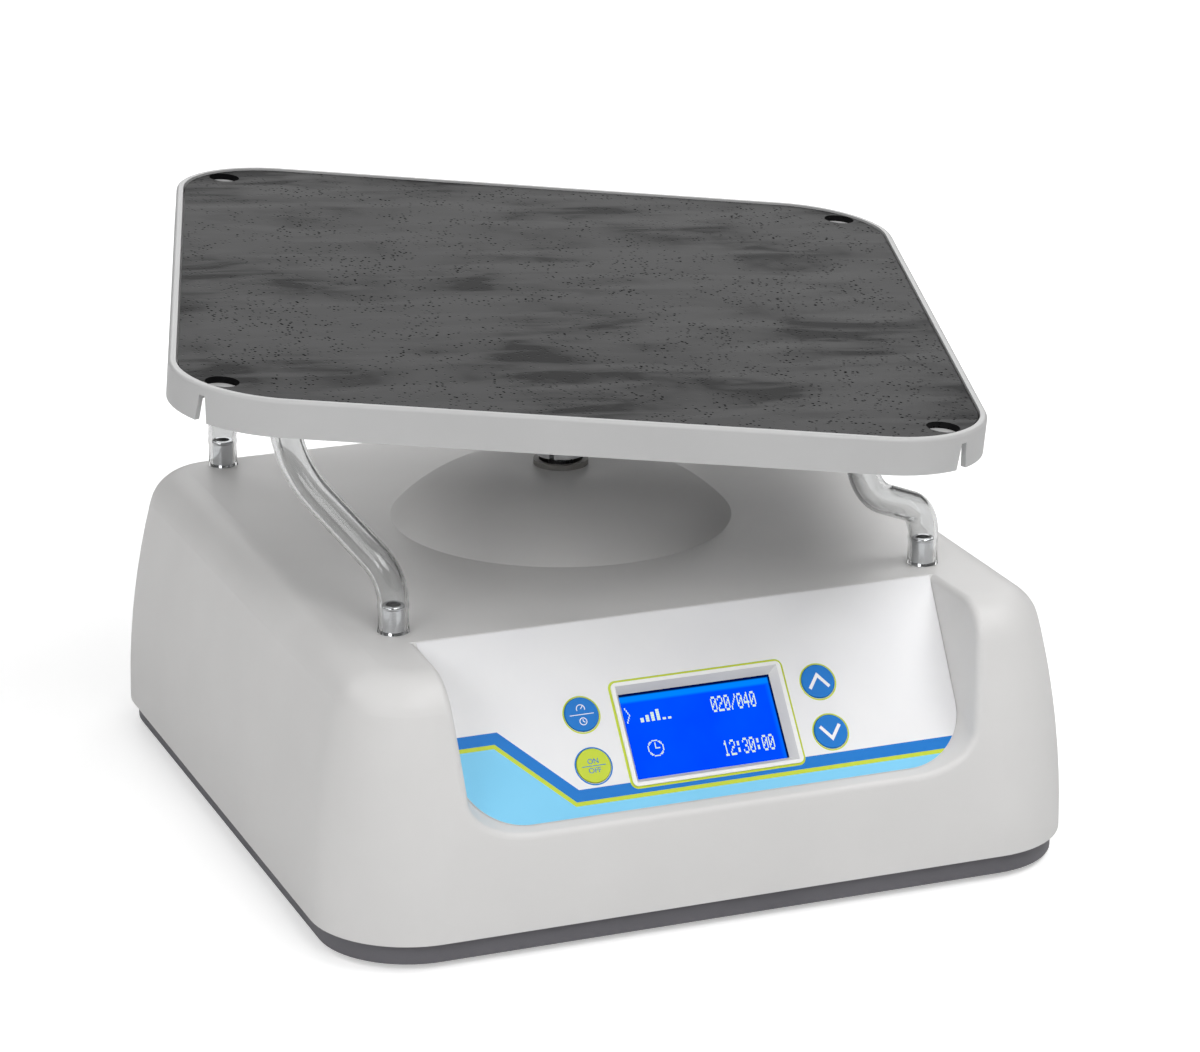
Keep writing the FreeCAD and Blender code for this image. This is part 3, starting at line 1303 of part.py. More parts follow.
def make_power_inlet():
    """Appliance inlet: flange, body, socket with three blades."""
    low = REAR_LEVEL - INLET_FLANGE_HEIGHT / 2
    flange = Part.makeBox(
        INLET_FLANGE_WIDTH,
        INLET_FLANGE,
        INLET_FLANGE_HEIGHT,
        vec(INLET_X - INLET_FLANGE_WIDTH / 2, REAR_FACE, low),
    )
    upright = [edge for edge in flange.Edges if abs(edge.tangentAt(0).y) > 0.99]
    flange = flange.makeFillet(INLET_FLANGE, upright)
    body = box(
        INLET_X - INLET_WIDTH / 2,
        INLET_X + INLET_WIDTH / 2,
        REAR_FACE - INLET_DEPTH,
        REAR_FACE,
        REAR_LEVEL - INLET_HEIGHT / 2,
        REAR_LEVEL + INLET_HEIGHT / 2,
    )
    socket = box(
        INLET_X - INLET_SOCKET_WIDTH / 2,
        INLET_X + INLET_SOCKET_WIDTH / 2,
        REAR_FACE + INLET_FLANGE - INLET_SOCKET_DEPTH,
        REAR_FACE + INLET_FLANGE,
        REAR_LEVEL - INLET_SOCKET_HEIGHT / 2,
        REAR_LEVEL + INLET_SOCKET_HEIGHT / 2,
    )
    solid = join([flange, body]).cut(socket)
    blades = []
    for step in (-1, 0, 1):
        x = INLET_X + step * BLADE_PITCH
        z = REAR_LEVEL + BLADE_RAISE * (1 - abs(step)) - BLADE_RAISE / 2
        y = REAR_FACE + INLET_FLANGE - INLET_SOCKET_DEPTH
        half = BLADE_THICKNESS / 2
        tall = BLADE_WIDTH / 2
        blades.append(box(x - half, x + half, y - 1.0, y + BLADE_LENGTH, z - tall, z + tall))
    holes = []
    for side in (-1, 1):
        x = INLET_X + side * INLET_HOLE / 2
        holes.append(cylinder(INLET_SCREW, INLET_FLANGE, x, REAR_FACE, REAR_LEVEL, (0, 1, 0)))
    return join([solid.cut(holes)] + blades)


def make_inlet_screws():
    screws = []
    for side in (-1, 1):
        x = INLET_X + side * INLET_HOLE / 2
        length = INLET_FLANGE + HOUSING_WALL * 2
        y = REAR_FACE + INLET_FLANGE
        shank = cylinder(INLET_SCREW, length, x, y, REAR_LEVEL, (0, -1, 0))
        head = cylinder(INLET_SCREW_HEAD, INLET_SCREW_HEAD_HEIGHT, x, y, REAR_LEVEL, (0, 1, 0))
        screws.append(shank.fuse(head))
    return group(screws)


ROCKER_Y = REAR_FACE - ROCKER_PIVOT_IN


def make_rocker():
    """Switch rocker, drawn level and then turned to its off position."""
    half = ROCKER_HALF_WIDTH
    drum = cylinder(ROCKER_RADIUS, 2 * half, SWITCH_X - half, ROCKER_Y, REAR_LEVEL, (1, 0, 0))
    keep = box(SWITCH_X - half, SWITCH_X + half, ROCKER_Y - FAR, ROCKER_Y + FAR, 0, TOP)
    keep = keep.common(box(-FAR, FAR, ROCKER_Y - ROCKER_RADIUS / 2, ROCKER_Y + FAR, 0, TOP))
    body = drum.common(keep)
    for side in (-1, 1):
        face = box(-FAR, FAR, 0, FAR, -FAR, FAR)
        face.rotate(vec(0, 0, 0), vec(1, 0, 0), -side * ROCKER_TILT)
        face.translate(vec(0, ROCKER_Y + ROCKER_FACE, REAR_LEVEL))
        halves = sorted((0, side * FAR))
        half_space = box(-FAR, FAR, -FAR, FAR, halves[0], halves[1])
        half_space.translate(vec(0, 0, REAR_LEVEL))
        body = body.cut(face.common(half_space))
    pin_half = half + ROCKER_GAP + ROCKER_PIN_LENGTH
    pin = cylinder(ROCKER_PIN, 2 * pin_half, SWITCH_X - pin_half, ROCKER_Y, REAR_LEVEL, (1, 0, 0))
    solid = join([body, pin])
    solid.rotate(vec(SWITCH_X, ROCKER_Y, REAR_LEVEL), vec(1, 0, 0), -ROCKER_TILT)
    return solid


def make_switch_body():
    """The switch's frame and case, open at the back of the panel for the rocker."""
    lip_x = SWITCH_BODY_WIDTH / 2 + SWITCH_FLANGE_LIP
    lip_z = SWITCH_BODY_HEIGHT / 2 + SWITCH_FLANGE_LIP
    flange = box(
        SWITCH_X - lip_x,
        SWITCH_X + lip_x,
        REAR_FACE,
        REAR_FACE + SWITCH_FLANGE,
        REAR_LEVEL - lip_z,
        REAR_LEVEL + lip_z,
    )
    case = box(
        SWITCH_X - SWITCH_BODY_WIDTH / 2,
        SWITCH_X + SWITCH_BODY_WIDTH / 2,
        REAR_FACE - SWITCH_BODY_DEPTH,
        REAR_FACE,
        REAR_LEVEL - SWITCH_BODY_HEIGHT / 2,
        REAR_LEVEL + SWITCH_BODY_HEIGHT / 2,
    )
    room_x = ROCKER_HALF_WIDTH + ROCKER_GAP
    room_z = ROCKER_RADIUS + ROCKER_GAP
    room = box(
        SWITCH_X - room_x,
        SWITCH_X + room_x,
        ROCKER_Y - ROCKER_RADIUS,
        REAR_FACE + SWITCH_FLANGE,
        REAR_LEVEL - room_z,
        REAR_LEVEL + room_z,
    )
    pin_half = ROCKER_HALF_WIDTH + ROCKER_GAP + ROCKER_PIN_LENGTH + ROCKER_PIN_END_GAP
    pin = cylinder(
        ROCKER_PIN + ROCKER_PIN_PLAY,
        2 * pin_half,
        SWITCH_X - pin_half,
        ROCKER_Y,
        REAR_LEVEL,
        (1, 0, 0),
    )
    return join([flange, case]).cut([room, pin])


def make_power_board():
    """Power board with its transformer, capacitors and heat sink."""
    top = POWER_LEVEL + BOARD_THICKNESS
    parts = [
        upright_block(POWER_X, POWER_WIDTH, POWER_LENGTH, POWER_LEVEL, BOARD_THICKNESS),
        upright_block(POWER_X, TRANSFORMER_WIDTH, TRANSFORMER_LENGTH, top, TRANSFORMER_HEIGHT),
        upright_block(POWER_X + HEAT_SINK_X, HEAT_SINK_WIDTH, HEAT_SINK_LENGTH, top, HEAT_SINK_HEIGHT),
    ]
    for side in (-1, 1):
        y = POWER_Y + side * CAPACITOR_Y
        parts.append(cylinder(CAPACITOR_RADIUS, CAPACITOR_HEIGHT, POWER_X + CAPACITOR_X, y, top))
    holes = []
    for x, y in power_hole_places():
        holes.append(cylinder(BOARD_SCREW, BOARD_THICKNESS, x, y, POWER_LEVEL))
    return join(parts).cut(holes)


def upright_block(x, width, length, z, height):
    """A block on the power board's middle line."""
    return box(
        x - width / 2,
        x + width / 2,
        POWER_Y - length / 2,
        POWER_Y + length / 2,
        z,
        z + height,
    )


def power_hole_places():
    x = POWER_WIDTH / 2 - POWER_INSET
    y = POWER_LENGTH / 2 - POWER_INSET
    return [(POWER_X + sx * x, POWER_Y + sy * y) for sx in (-1, 1) for sy in (-1, 1)]


def make_power_standoffs():
    """Snap standoffs between the pan and the power board."""
    posts = []
    for x, y in power_hole_places():
        post = cylinder(POWER_STANDOFF, POWER_LEVEL - PAN_TOP, x, y, PAN_TOP)
        tip = cylinder(BOARD_SCREW, BOARD_THICKNESS + 1.0, x, y, POWER_LEVEL)
        posts.append(post.fuse(tip))
    return group(posts)


def corner_names():
    return ["front_left", "front_right", "back_left", "back_right"]


def build():
    parts = {
        "housing": make_housing(),
        "base_pan": make_base_pan(),
        "base_screws": make_base_screws(),
        "shaft_ring": make_shaft_ring(),
        "panel_overlay": make_overlay(),
        "display_bezel": make_bezel(),
        "display_glass": make_display_glass(),
        "display_module": make_display_module(),
        "control_board": make_control_board(),
        "board_screws": make_board_screws(),
        "button_switches": make_button_switches(),
        "base_pegs": make_base_pegs(),
        "peg_nuts": make_peg_nuts(),
        "drive_plate": make_drive_plate(),
        "plate_pillars": make_pillars(),
        "pillar_screws": make_pillar_screws(),
        "bearing_tower": make_bearing_tower(),
        "tower_screws": make_tower_screws(),
        "lower_shaft_bearing": bearing(LOWER_TOWER_BEARING),
        "upper_shaft_bearing": bearing(UPPER_TOWER_BEARING),
        "gearbox": make_gearbox(),
        "motor": make_motor(),
        "motor_screws": make_motor_screws(),
        "timing_belt": make_belt(),
        "power_board": make_power_board(),
        "power_standoffs": make_power_standoffs(),
        "power_inlet": make_power_inlet(),
        "inlet_screws": make_inlet_screws(),
        "switch_body": make_switch_body(),
        "switch_rocker": make_rocker(),
        "motor_shaft": make_motor_shaft(),
        "motor_pulley": pulley(MOTOR_TEETH, MOTOR_HUB, MOTOR_SHAFT, MOTOR_X),
        "main_shaft": make_main_shaft(),
        "shaft_collar": make_shaft_collar(),
        "driven_pulley": make_driven_pulley(),
        "crank_hub": make_crank_hub(),
        "clamp_screw": make_clamp_screw(),
        "crank_pin": make_crank_pin(),
        "pin_cap_screw": make_pin_cap(),
        "deck_hub": make_deck_hub(),
        "upper_deck_bearing": on_deck(bearing(UPPER_DECK_BEARING)),
        "lower_deck_bearing": on_deck(bearing(LOWER_DECK_BEARING)),
        "hub_screws": make_hub_screws(),
        "deck_tray": make_tray(),
        "deck_mat": make_mat(),
        "deck_pegs": make_deck_pegs(),
    }
    for corner, (x, y) in zip(corner_names(), peg_places()):
        parts["clear_tube_" + corner] = make_clear_tube(x, y)
    for corner, (x, y) in zip(corner_names(), foot_places()):
        parts["foot_" + corner] = make_foot(x, y)
    for name, u, v in button_places():
        parts["button_" + name] = make_button(u, v)
    return parts


os.makedirs("parts", exist_ok=True)
for node, shape in build().items():
    shape.exportStep("parts/" + node + ".step")
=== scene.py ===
import json
import math

import bmesh
import bpy
from mathutils import Matrix, Quaternion, Vector
from mathutils.bvhtree import BVHTree

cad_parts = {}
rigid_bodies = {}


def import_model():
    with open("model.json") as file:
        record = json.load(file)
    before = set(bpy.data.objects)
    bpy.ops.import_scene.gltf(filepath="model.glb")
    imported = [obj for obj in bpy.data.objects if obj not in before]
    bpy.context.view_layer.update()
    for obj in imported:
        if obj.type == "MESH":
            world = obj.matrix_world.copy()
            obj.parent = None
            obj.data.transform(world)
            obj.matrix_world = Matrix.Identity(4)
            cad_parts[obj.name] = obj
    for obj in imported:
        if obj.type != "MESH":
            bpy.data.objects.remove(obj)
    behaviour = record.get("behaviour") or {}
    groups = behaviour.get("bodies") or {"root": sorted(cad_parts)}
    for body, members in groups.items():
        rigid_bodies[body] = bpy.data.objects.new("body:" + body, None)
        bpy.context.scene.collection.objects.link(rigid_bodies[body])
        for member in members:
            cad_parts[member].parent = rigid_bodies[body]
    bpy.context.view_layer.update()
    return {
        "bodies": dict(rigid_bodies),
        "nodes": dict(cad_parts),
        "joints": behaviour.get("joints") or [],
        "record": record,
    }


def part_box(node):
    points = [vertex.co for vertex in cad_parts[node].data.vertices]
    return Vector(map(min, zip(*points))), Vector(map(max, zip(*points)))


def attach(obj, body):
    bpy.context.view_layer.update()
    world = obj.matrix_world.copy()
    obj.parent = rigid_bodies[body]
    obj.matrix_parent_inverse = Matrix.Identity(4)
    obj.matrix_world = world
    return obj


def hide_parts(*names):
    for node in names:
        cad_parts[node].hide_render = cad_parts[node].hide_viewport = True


# The looks of a bench shaker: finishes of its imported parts, the printed panel, the display's
# dots, and the clear tubes that bend with the tray. The camera, the lamps and the floor are in
# metres. All other sizes are millimetres, turned into metres by MM where they meet the frame.
# Panel sizes are u across, v up the face and w out of it.

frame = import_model()
nodes = frame["nodes"]
MM = 0.001

# Camera, from the photograph
CAMERA_PLACE = (-0.6953, -1.8077, 0.7726)
CAMERA_AZIMUTH = -21.59
CAMERA_ELEVATION = 18.59
CAMERA_ROLL = 0.13
CAMERA_LENS = 128.63

# Lamps: name, azimuth and elevation in degrees, watts
LAMPS = (
    ("near", 0, 40, 28),
    ("near_left", -50, 24, 20),
    ("left", -80, 34, 8),
    ("right", 46, 56, 28),
    ("high_right", 80, 60, 14),
    ("far_left", -125, 34, 12),
    ("far", 180, 38, 18),
    ("far_right", 135, 32, 13),
    ("backdrop", 159, 15, 7),
)
LAMP_SIZE = 1.5
LAMP_DISTANCE = 3.0
LAMP_AIM = 0.15
AMBIENT = 0.08

# Floor: how far it is lifted to white for the camera, and at which distances, in metres
FLOOR_SIZE = 24
FLOOR_LIFT = (0.45, 1.0)
FLOOR_LIFT_REACH = (1.2, 3.0)

# Cosines to the camera's direction between which the clear tubes begin to show the white behind
WHITE_AHEAD = (0.90, 0.97)

# Panel print
GLASS_MIDDLE = 5.45
GLASS_FRONT = 4.7
PRINT = 0.05
LABEL_SPREAD = 0.062
LABEL_CORNER = 29.7
LABEL_EDGE = 0.15
BEZEL_HALF_U = 40.75
BEZEL_HALF_V = 24.0
BEZEL_CORNER = 2.5
BEZEL_LINE = 1.1
BEZEL_LAP = 0.2
BAND_V = -29.0
BAND_STEP = 31.0
BAND_CHAMFER_U = -69.0
LIME_STRIPE = 1.9
BLUE_STRIPE = 5.4
BUTTON_HOLE = 8.05
BUTTON_FRONT = 0.6
BUTTON_LINE = 0.7
BUTTON_LINE_GAP = 0.05
MITRE_LIMIT = 0.3

# Marks on the buttons
ARROW_HALF = 4.7
ARROW_FOOT = 2.9
ARROW_TIP = 3.1
ARROW_LINE = 1.5
BAR_HALF = 5.6
BAR_LINE = 0.34
MARK_LINE = 0.38
DIAL_V = 2.6
DIAL_RADIUS = 1.9
CLOCK_V = -3.2
CLOCK_RADIUS = 1.8
LETTERS = 3.4

# Marks on the power switch
ROCKER_LINE_HALF = 0.45
ROCKER_LINE_LOW = 2.8
ROCKER_LINE_HIGH = 6.6
ROCKER_RING_V = -4.8
ROCKER_RING_INSIDE = 1.35
ROCKER_RING_OUTSIDE = 2.1
ROCKER_PRINT = 0.03

# Display: the dot matrix is measured from the top left corner of its viewing area
VIEW_HALF_U = 36.25
VIEW_HALF_V = 19.75
DOT_WIDE = 0.52
DOT_TALL = 1.04
DOT_FILL = 0.86
DOT_FILL_TALL = 0.94
CHARACTER_PITCH = 3.12
GAUGE_PITCH = 2.6
CLOCK_PITCH = 0.58
DOT_PROUD = 0.02
DOTS = {
    "0": "01110 10001 10011 10101 11001 10001 01110",
    "1": "00100 01100 00100 00100 00100 00100 01110",
    "2": "01110 10001 00001 00110 01000 10000 11111",
    "3": "01110 10001 00001 00110 00001 10001 01110",
    "4": "00010 00110 01010 10010 11111 00010 00010",
    ":": "00000 01100 01100 00000 01100 01100 00000",
    "/": "00001 00001 00010 00100 01000 10000 10000",
    ">": "10000 01000 00100 00010 00100 01000 10000",
}

# Clear tubes: they grip a peg on the case and a peg under the tray
PEG_X = 128.4
PEG_Y = 129.0
PEG_RADIUS = 5.0
PEG_LIP = 5.3
PEG_LIP_LEVEL = 11.9
PEG_GRIP = 13.0
PEG_FIT = 0.06
PEG_LIP_REACH = 1.6
CASE_TOP = 128.4
RIM_BELOW_PIVOT = 14.3
TRAY_TURN = -16.92
TRAY_UNDERSIDE = 6.8
TUBE_WALL = 1.7
TUBE_BORE = 5.4
TUBE_RISE = 25.5
TUBE_DROP = 39.5
TUBE_LOW_REACH = 12.2
TUBE_HIGH_REACH = 26.0
TUBE_END_GAP = 0.3
TUBE_FREE_START = 2.5
TUBE_FREE_REACH = 1.2
TUBE_FLARE = 0.45
TUBE_FLARE_REACH = 3.0
TUBE_SIDES = 48
TUBE_STATIONS = 120


def joint(name):
    return next(j for j in frame["joints"] if j["name"] == name)


def middle(node):
    low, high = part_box(node)
    return (low + high) / 2


# The panel's own directions, from the axis that its buttons travel along
ACROSS = Vector((1, 0, 0))
OUT = -Vector(joint("press_left_upper")["axis"]).normalized()
UP = OUT.cross(ACROSS)
PANEL_CENTRE = middle("display_glass") + OUT * GLASS_MIDDLE * MM


def on_panel(u, v, w):
    return PANEL_CENTRE + (ACROSS * u + UP * v + OUT * w) * MM


def panel_place(point):
    """u and v of a point of the frame."""
    away = (point - PANEL_CENTRE) / MM
    return away.dot(ACROSS), away.dot(UP)


def srgb(red, green, blue):
    """A colour as a screen shows it, 0 to 255, in Blender's linear values."""

    def linear(value):
        share = value / 255
        if share <= 0.04045:
            return share / 12.92
        return ((share + 0.055) / 1.055) ** 2.4

    return (linear(red), linear(green), linear(blue), 1.0)


def add(tree, kind, inputs=None, **settings):
    """A shader node; an input is a value or another node's output."""
    node = tree.nodes.new(kind)
    for key, value in settings.items():
        setattr(node, key, value)
    for name, value in (inputs or {}).items():
        if isinstance(value, bpy.types.NodeSocket):
            tree.links.new(value, node.inputs[name])
        else:
            node.inputs[name].default_value = value
    return node


def finish(name, sockets):
    """A material whose shader holds the constant values given; returns it, its tree and its shader."""
    made = bpy.data.materials.new(name)
    made.use_nodes = True
    shader = made.node_tree.nodes["Principled BSDF"]
    for socket, value in sockets.items():
        shader.inputs[socket].default_value = value
    return made, made.node_tree, shader


def place_of(tree):
    return add(tree, "ShaderNodeTexCoord").outputs["Object"]


def noise(tree, size, detail=3.0, stretch=(1, 1, 1), distortion=0.0):
    """Cloudy noise of about the given size in millimetres, longer along a stretched axis."""
    scale = tuple(1 / (size * MM * s) for s in stretch)
    where = add(tree, "ShaderNodeMapping", {"Vector": place_of(tree), "Scale": scale})
    inputs = {"Vector": where.outputs["Vector"], "Scale": 1.0, "Detail": detail, "Distortion": distortion}
    return add(tree, "ShaderNodeTexNoise", inputs).outputs["Fac"]


def spots(tree, size, radius):
    """1 inside round spots of a radius, scattered at about the given spacing, both in millimetres."""
    inputs = {"Vector": place_of(tree), "Scale": 1 / (size * MM), "Randomness": 1.0}
    cell = add(tree, "ShaderNodeTexVoronoi", inputs).outputs["Distance"]
    share = radius / size
    return ranged(tree, cell, share, share * 0.6, 0.0, 1.0)


def ranged(tree, value, low, high, to_low, to_high):
    inputs = {"Value": value, "From Min": low, "From Max": high, "To Min": to_low, "To Max": to_high}
    return add(tree, "ShaderNodeMapRange", inputs).outputs["Result"]


def times(tree, first, second):
    return add(tree, "ShaderNodeMath", {0: first, 1: second}, operation="MULTIPLY").outputs["Value"]


def plus(tree, first, second):
    return add(tree, "ShaderNodeMath", {0: first, 1: second}, operation="ADD").outputs["Value"]


def larger(tree, first, second):
    return add(tree, "ShaderNodeMath", {0: first, 1: second}, operation="MAXIMUM").outputs["Value"]


def dot_product(tree, vector, axis):
    node = add(tree, "ShaderNodeVectorMath", {0: vector, 1: axis}, operation="DOT_PRODUCT")
    return node.outputs["Value"]


def tinted(tree, amount, first, second):
    """A colour between two, by an amount from 0 to 1."""
    node = add(tree, "ShaderNodeMix", {"Factor": amount}, data_type="RGBA")
    for socket, value in (("A_Color", first), ("B_Color", second)):
        target = next(s for s in node.inputs if s.identifier == socket)
        if isinstance(value, bpy.types.NodeSocket):
            tree.links.new(value, target)
        else:
            target.default_value = value
    return next(s for s in node.outputs if s.identifier == "Result_Color")


def bump(tree, shader, height, depth, below=None):
    """Bumps of a depth in millimetres, over others when below is their normal."""
    inputs = {"Height": height, "Strength": 1.0, "Distance": depth * MM}
    if below is not None:
        inputs["Normal"] = below
    normal = add(tree, "ShaderNodeBump", inputs).outputs["Normal"]
    tree.links.new(normal, shader.inputs["Normal"])
    return normal


def moulded(name, colour, shade, roughness, grain=0.45, depth=0.012, patch=55.0):
    """Satin moulded plastic: a fine spark-eroded grain and a faint drift of tone and gloss."""
    made, tree, shader = finish(name, {"IOR": 1.5})
    drift = ranged(tree, noise(tree, patch), 0.3, 0.7, 0.0, 1.0)
    fine = noise(tree, grain, detail=4.0)
    tree.links.new(tinted(tree, drift, colour, shade), shader.inputs["Base Color"])
    gloss = ranged(tree, fine, 0.3, 0.7, roughness - 0.05, roughness + 0.06)
    tree.links.new(gloss, shader.inputs["Roughness"])
    bump(tree, shader, fine, depth)
    return made


def mat_rubber():
    """Smooth black rubber sheet: a bloom in clouds and streaks, and cast pits that gather in places, coloured
    near black as painted shade in them.
    """
    made, tree, shader = finish("mat_rubber", {"IOR": 1.5})
    cloud = ranged(tree, noise(tree, 80.0, detail=5.0), 0.4, 0.6, 0.0, 1.0)
    streaks = noise(tree, 16.0, detail=6.0, stretch=(5, 1, 1), distortion=0.6)
    scuff = ranged(tree, streaks, 0.46, 0.72, 0.0, 1.0)
    swarm = ranged(tree, noise(tree, 16.0, detail=3.0), 0.42, 0.54, 0.0, 1.0)
    pits = times(tree, times(tree, spots(tree, 2.7, 0.78), swarm), ranged(tree, cloud, 0.0, 0.3, 0.5, 1.0))
    dust = times(tree, spots(tree, 2.6, 0.3), scuff)
    black = tinted(tree, cloud, srgb(18, 18, 19), srgb(34, 34, 35))
    dusty = tinted(tree, dust, black, srgb(78, 78, 80))
    # The pits are coloured near black: painted shade in them.
    tree.links.new(tinted(tree, pits, dusty, srgb(4, 4, 4)), shader.inputs["Base Color"])
    streaked = plus(tree, ranged(tree, cloud, 0, 1, 0.02, 0.14), times(tree, scuff, 0.12))
    shine = times(tree, streaked, ranged(tree, pits, 0, 1, 1, 0.0))
    tree.links.new(shine, shader.inputs["Specular IOR Level"])
    fine = noise(tree, 0.6, detail=4.0)
    gloss = plus(tree, ranged(tree, cloud, 0, 1, 0.36, 0.46), times(tree, scuff, 0.05))
    tree.links.new(gloss, shader.inputs["Roughness"])
    grain = bump(tree, shader, fine, 0.02)
    bump(tree, shader, times(tree, pits, -1.0), 0.3, grain)
    return made


def foot_rubber(name="foot_rubber"):
    made, tree, shader = finish(name, {"IOR": 1.5, "Specular IOR Level": 0.35})
    fine = noise(tree, 0.8, detail=4.0)
    tree.links.new(tinted(tree, fine, srgb(22, 22, 23), srgb(40, 40, 41)), shader.inputs["Base Color"])
    tree.links.new(ranged(tree, fine, 0.3, 0.7, 0.55, 0.75), shader.inputs["Roughness"])
    bump(tree, shader, fine, 0.05)
    return made


def clear_vinyl():
    """Soft clear tube: faint waves in its wall from the extruder."""
    made, tree, shader = finish(
        "clear_vinyl",
        {"Base Color": (0.88, 0.885, 0.885, 1.0), "Transmission Weight": 1.0, "IOR": 1.4},
    )
    wave = noise(tree, 5.0, detail=2.0, stretch=(1, 1, 6))
    tree.links.new(ranged(tree, wave, 0.3, 0.7, 0.01, 0.03), shader.inputs["Roughness"])
    bump(tree, shader, wave, 0.015)
    return made


def printed(name, colour, shade, roughness=0.42):
    """Ink on a lightly textured film."""
    made, tree, shader = finish(name, {"IOR": 1.5, "Specular IOR Level": 0.22})
    fine = noise(tree, 0.7, detail=4.0)
    wide = ranged(tree, noise(tree, 30.0), 0.3, 0.7, 0.0, 1.0)
    tree.links.new(tinted(tree, wide, colour, shade), shader.inputs["Base Color"])
    gloss = ranged(tree, fine, 0.3, 0.7, roughness - 0.05, roughness + 0.05)
    tree.links.new(gloss, shader.inputs["Roughness"])
    bump(tree, shader, fine, 0.006)
    return made


def lit_display():
    """Backlit blue liquid crystal, brighter along its light guide, with a painted shadow of its frame
    darkening the edges it hides under.
    """
    made, tree, shader = finish("display", {"Roughness": 0.09, "IOR": 1.5, "Specular IOR Level": 0.0})
    shader.inputs["Base Color"].default_value = srgb(0, 6, 40)
    inputs = {0: place_of(tree), 1: PANEL_CENTRE}
    off_centre = add(tree, "ShaderNodeVectorMath", inputs, operation="SUBTRACT").outputs["Vector"]
    across = dot_product(tree, off_centre, ACROSS)
    upward = dot_product(tree, off_centre, UP)

    def rising(place, edge, start, end, amount=1.0):
        """From 0 to an amount, between two distances in from an edge, in millimetres."""
        return ranged(tree, place, (edge - start) * MM, (edge - end) * MM, 0.0, amount)

    band = rising(upward, VIEW_HALF_V, 4.6, 3.4)
    side = rising(across, VIEW_HALF_U, 3.2, 1.2, 0.45)
    glow = larger(tree, band, side)
    # Painted shadow of the frame: the glow is darkened along the top and side edges under it.
    over = rising(upward, VIEW_HALF_V, 1.5, 0.9)
    beyond = rising(across, VIEW_HALF_U, 1.2, 0.6)
    painted_frame_shadow = larger(tree, over, beyond)
    uneven = ranged(tree, noise(tree, 26.0), 0.3, 0.7, 0.0, 1.0)
    main = tinted(tree, uneven, srgb(0, 70, 255), srgb(0, 80, 255))
    bright = tinted(tree, glow, main, srgb(0, 132, 255))
    # The painted frame shadow turns the glow dark navy there.
    lit = tinted(tree, painted_frame_shadow, bright, srgb(0, 10, 62))
    tree.links.new(lit, shader.inputs["Emission Color"])
    seen = add(tree, "ShaderNodeLightPath").outputs["Is Camera Ray"]
    tree.links.new(ranged(tree, seen, 0, 1, 0.2, 1.0), shader.inputs["Emission Strength"])
    return made


def lit_dots():
    made, tree, shader = finish("display_dots", {"Roughness": 0.3, "Emission Strength": 1.0})
    shader.inputs["Base Color"].default_value = srgb(40, 60, 60)
    uneven = noise(tree, 6.0)
    glow = tinted(tree, uneven, srgb(232, 246, 205), srgb(208, 232, 205))
    tree.links.new(glow, shader.inputs["Emission Color"])
    return made


def metal(name, colour, shade, roughness, stretch=(1, 1, 1), size=1.5, depth=0.004, spread=0.08):
    """Bare metal with the marks of its making: turned, brushed or blasted by the stretch of its noise."""
    made, tree, shader = finish(name, {"Metallic": 1.0})
    marks = noise(tree, size, detail=5.0, stretch=stretch)
    tree.links.new(tinted(tree, marks, colour, shade), shader.inputs["Base Color"])
    gloss = ranged(tree, marks, 0.3, 0.7, roughness - spread, roughness + spread)
    tree.links.new(gloss, shader.inputs["Roughness"])
    bump(tree, shader, marks, depth)
    return made


def circuit_board():
    """Green lacquer over copper tracks, which show as lighter, slightly raised lines."""
    made, tree, shader = finish("circuit_board", {"IOR": 1.5, "Roughness": 0.28})
    inputs = {"Vector": place_of(tree), "Scale": 1 / (3.2 * MM), "Randomness": 0.0}
    cell = add(tree, "ShaderNodeTexVoronoi", inputs, distance="CHEBYCHEV", feature="F1").outputs["Distance"]
    lines = ranged(tree, cell, 0.40, 0.44, 0.0, 1.0)
    tracks = times(tree, lines, ranged(tree, noise(tree, 9.0), 0.48, 0.52, 0, 1))
    tree.links.new(tinted(tree, tracks, srgb(18, 84, 48), srgb(44, 128, 76)), shader.inputs["Base Color"])
    bump(tree, shader, tracks, 0.03)
    return made


def white_floor():
    """White paper with the shadow near the object, lifted to white beyond it; clear from below."""
    made, tree, shader = finish("floor", {"Roughness": 1.0, "Specular IOR Level": 0.0})
    shader.inputs["Base Color"].default_value = (0.8, 0.8, 0.8, 1.0)
    shader.inputs["Emission Color"].default_value = (1.0, 1.0, 1.0, 1.0)
    seen = add(tree, "ShaderNodeLightPath").outputs["Is Camera Ray"]
    distance = add(tree, "ShaderNodeVectorMath", {0: place_of(tree)}, operation="LENGTH").outputs["Value"]
    lift = ranged(tree, distance, *FLOOR_LIFT_REACH, *FLOOR_LIFT)
    tree.links.new(times(tree, seen, lift), shader.inputs["Emission Strength"])
    below = add(tree, "ShaderNodeNewGeometry").outputs["Backfacing"]
    tree.links.new(ranged(tree, below, 0.0, 1.0, 1.0, 0.0), shader.inputs["Alpha"])
    return made


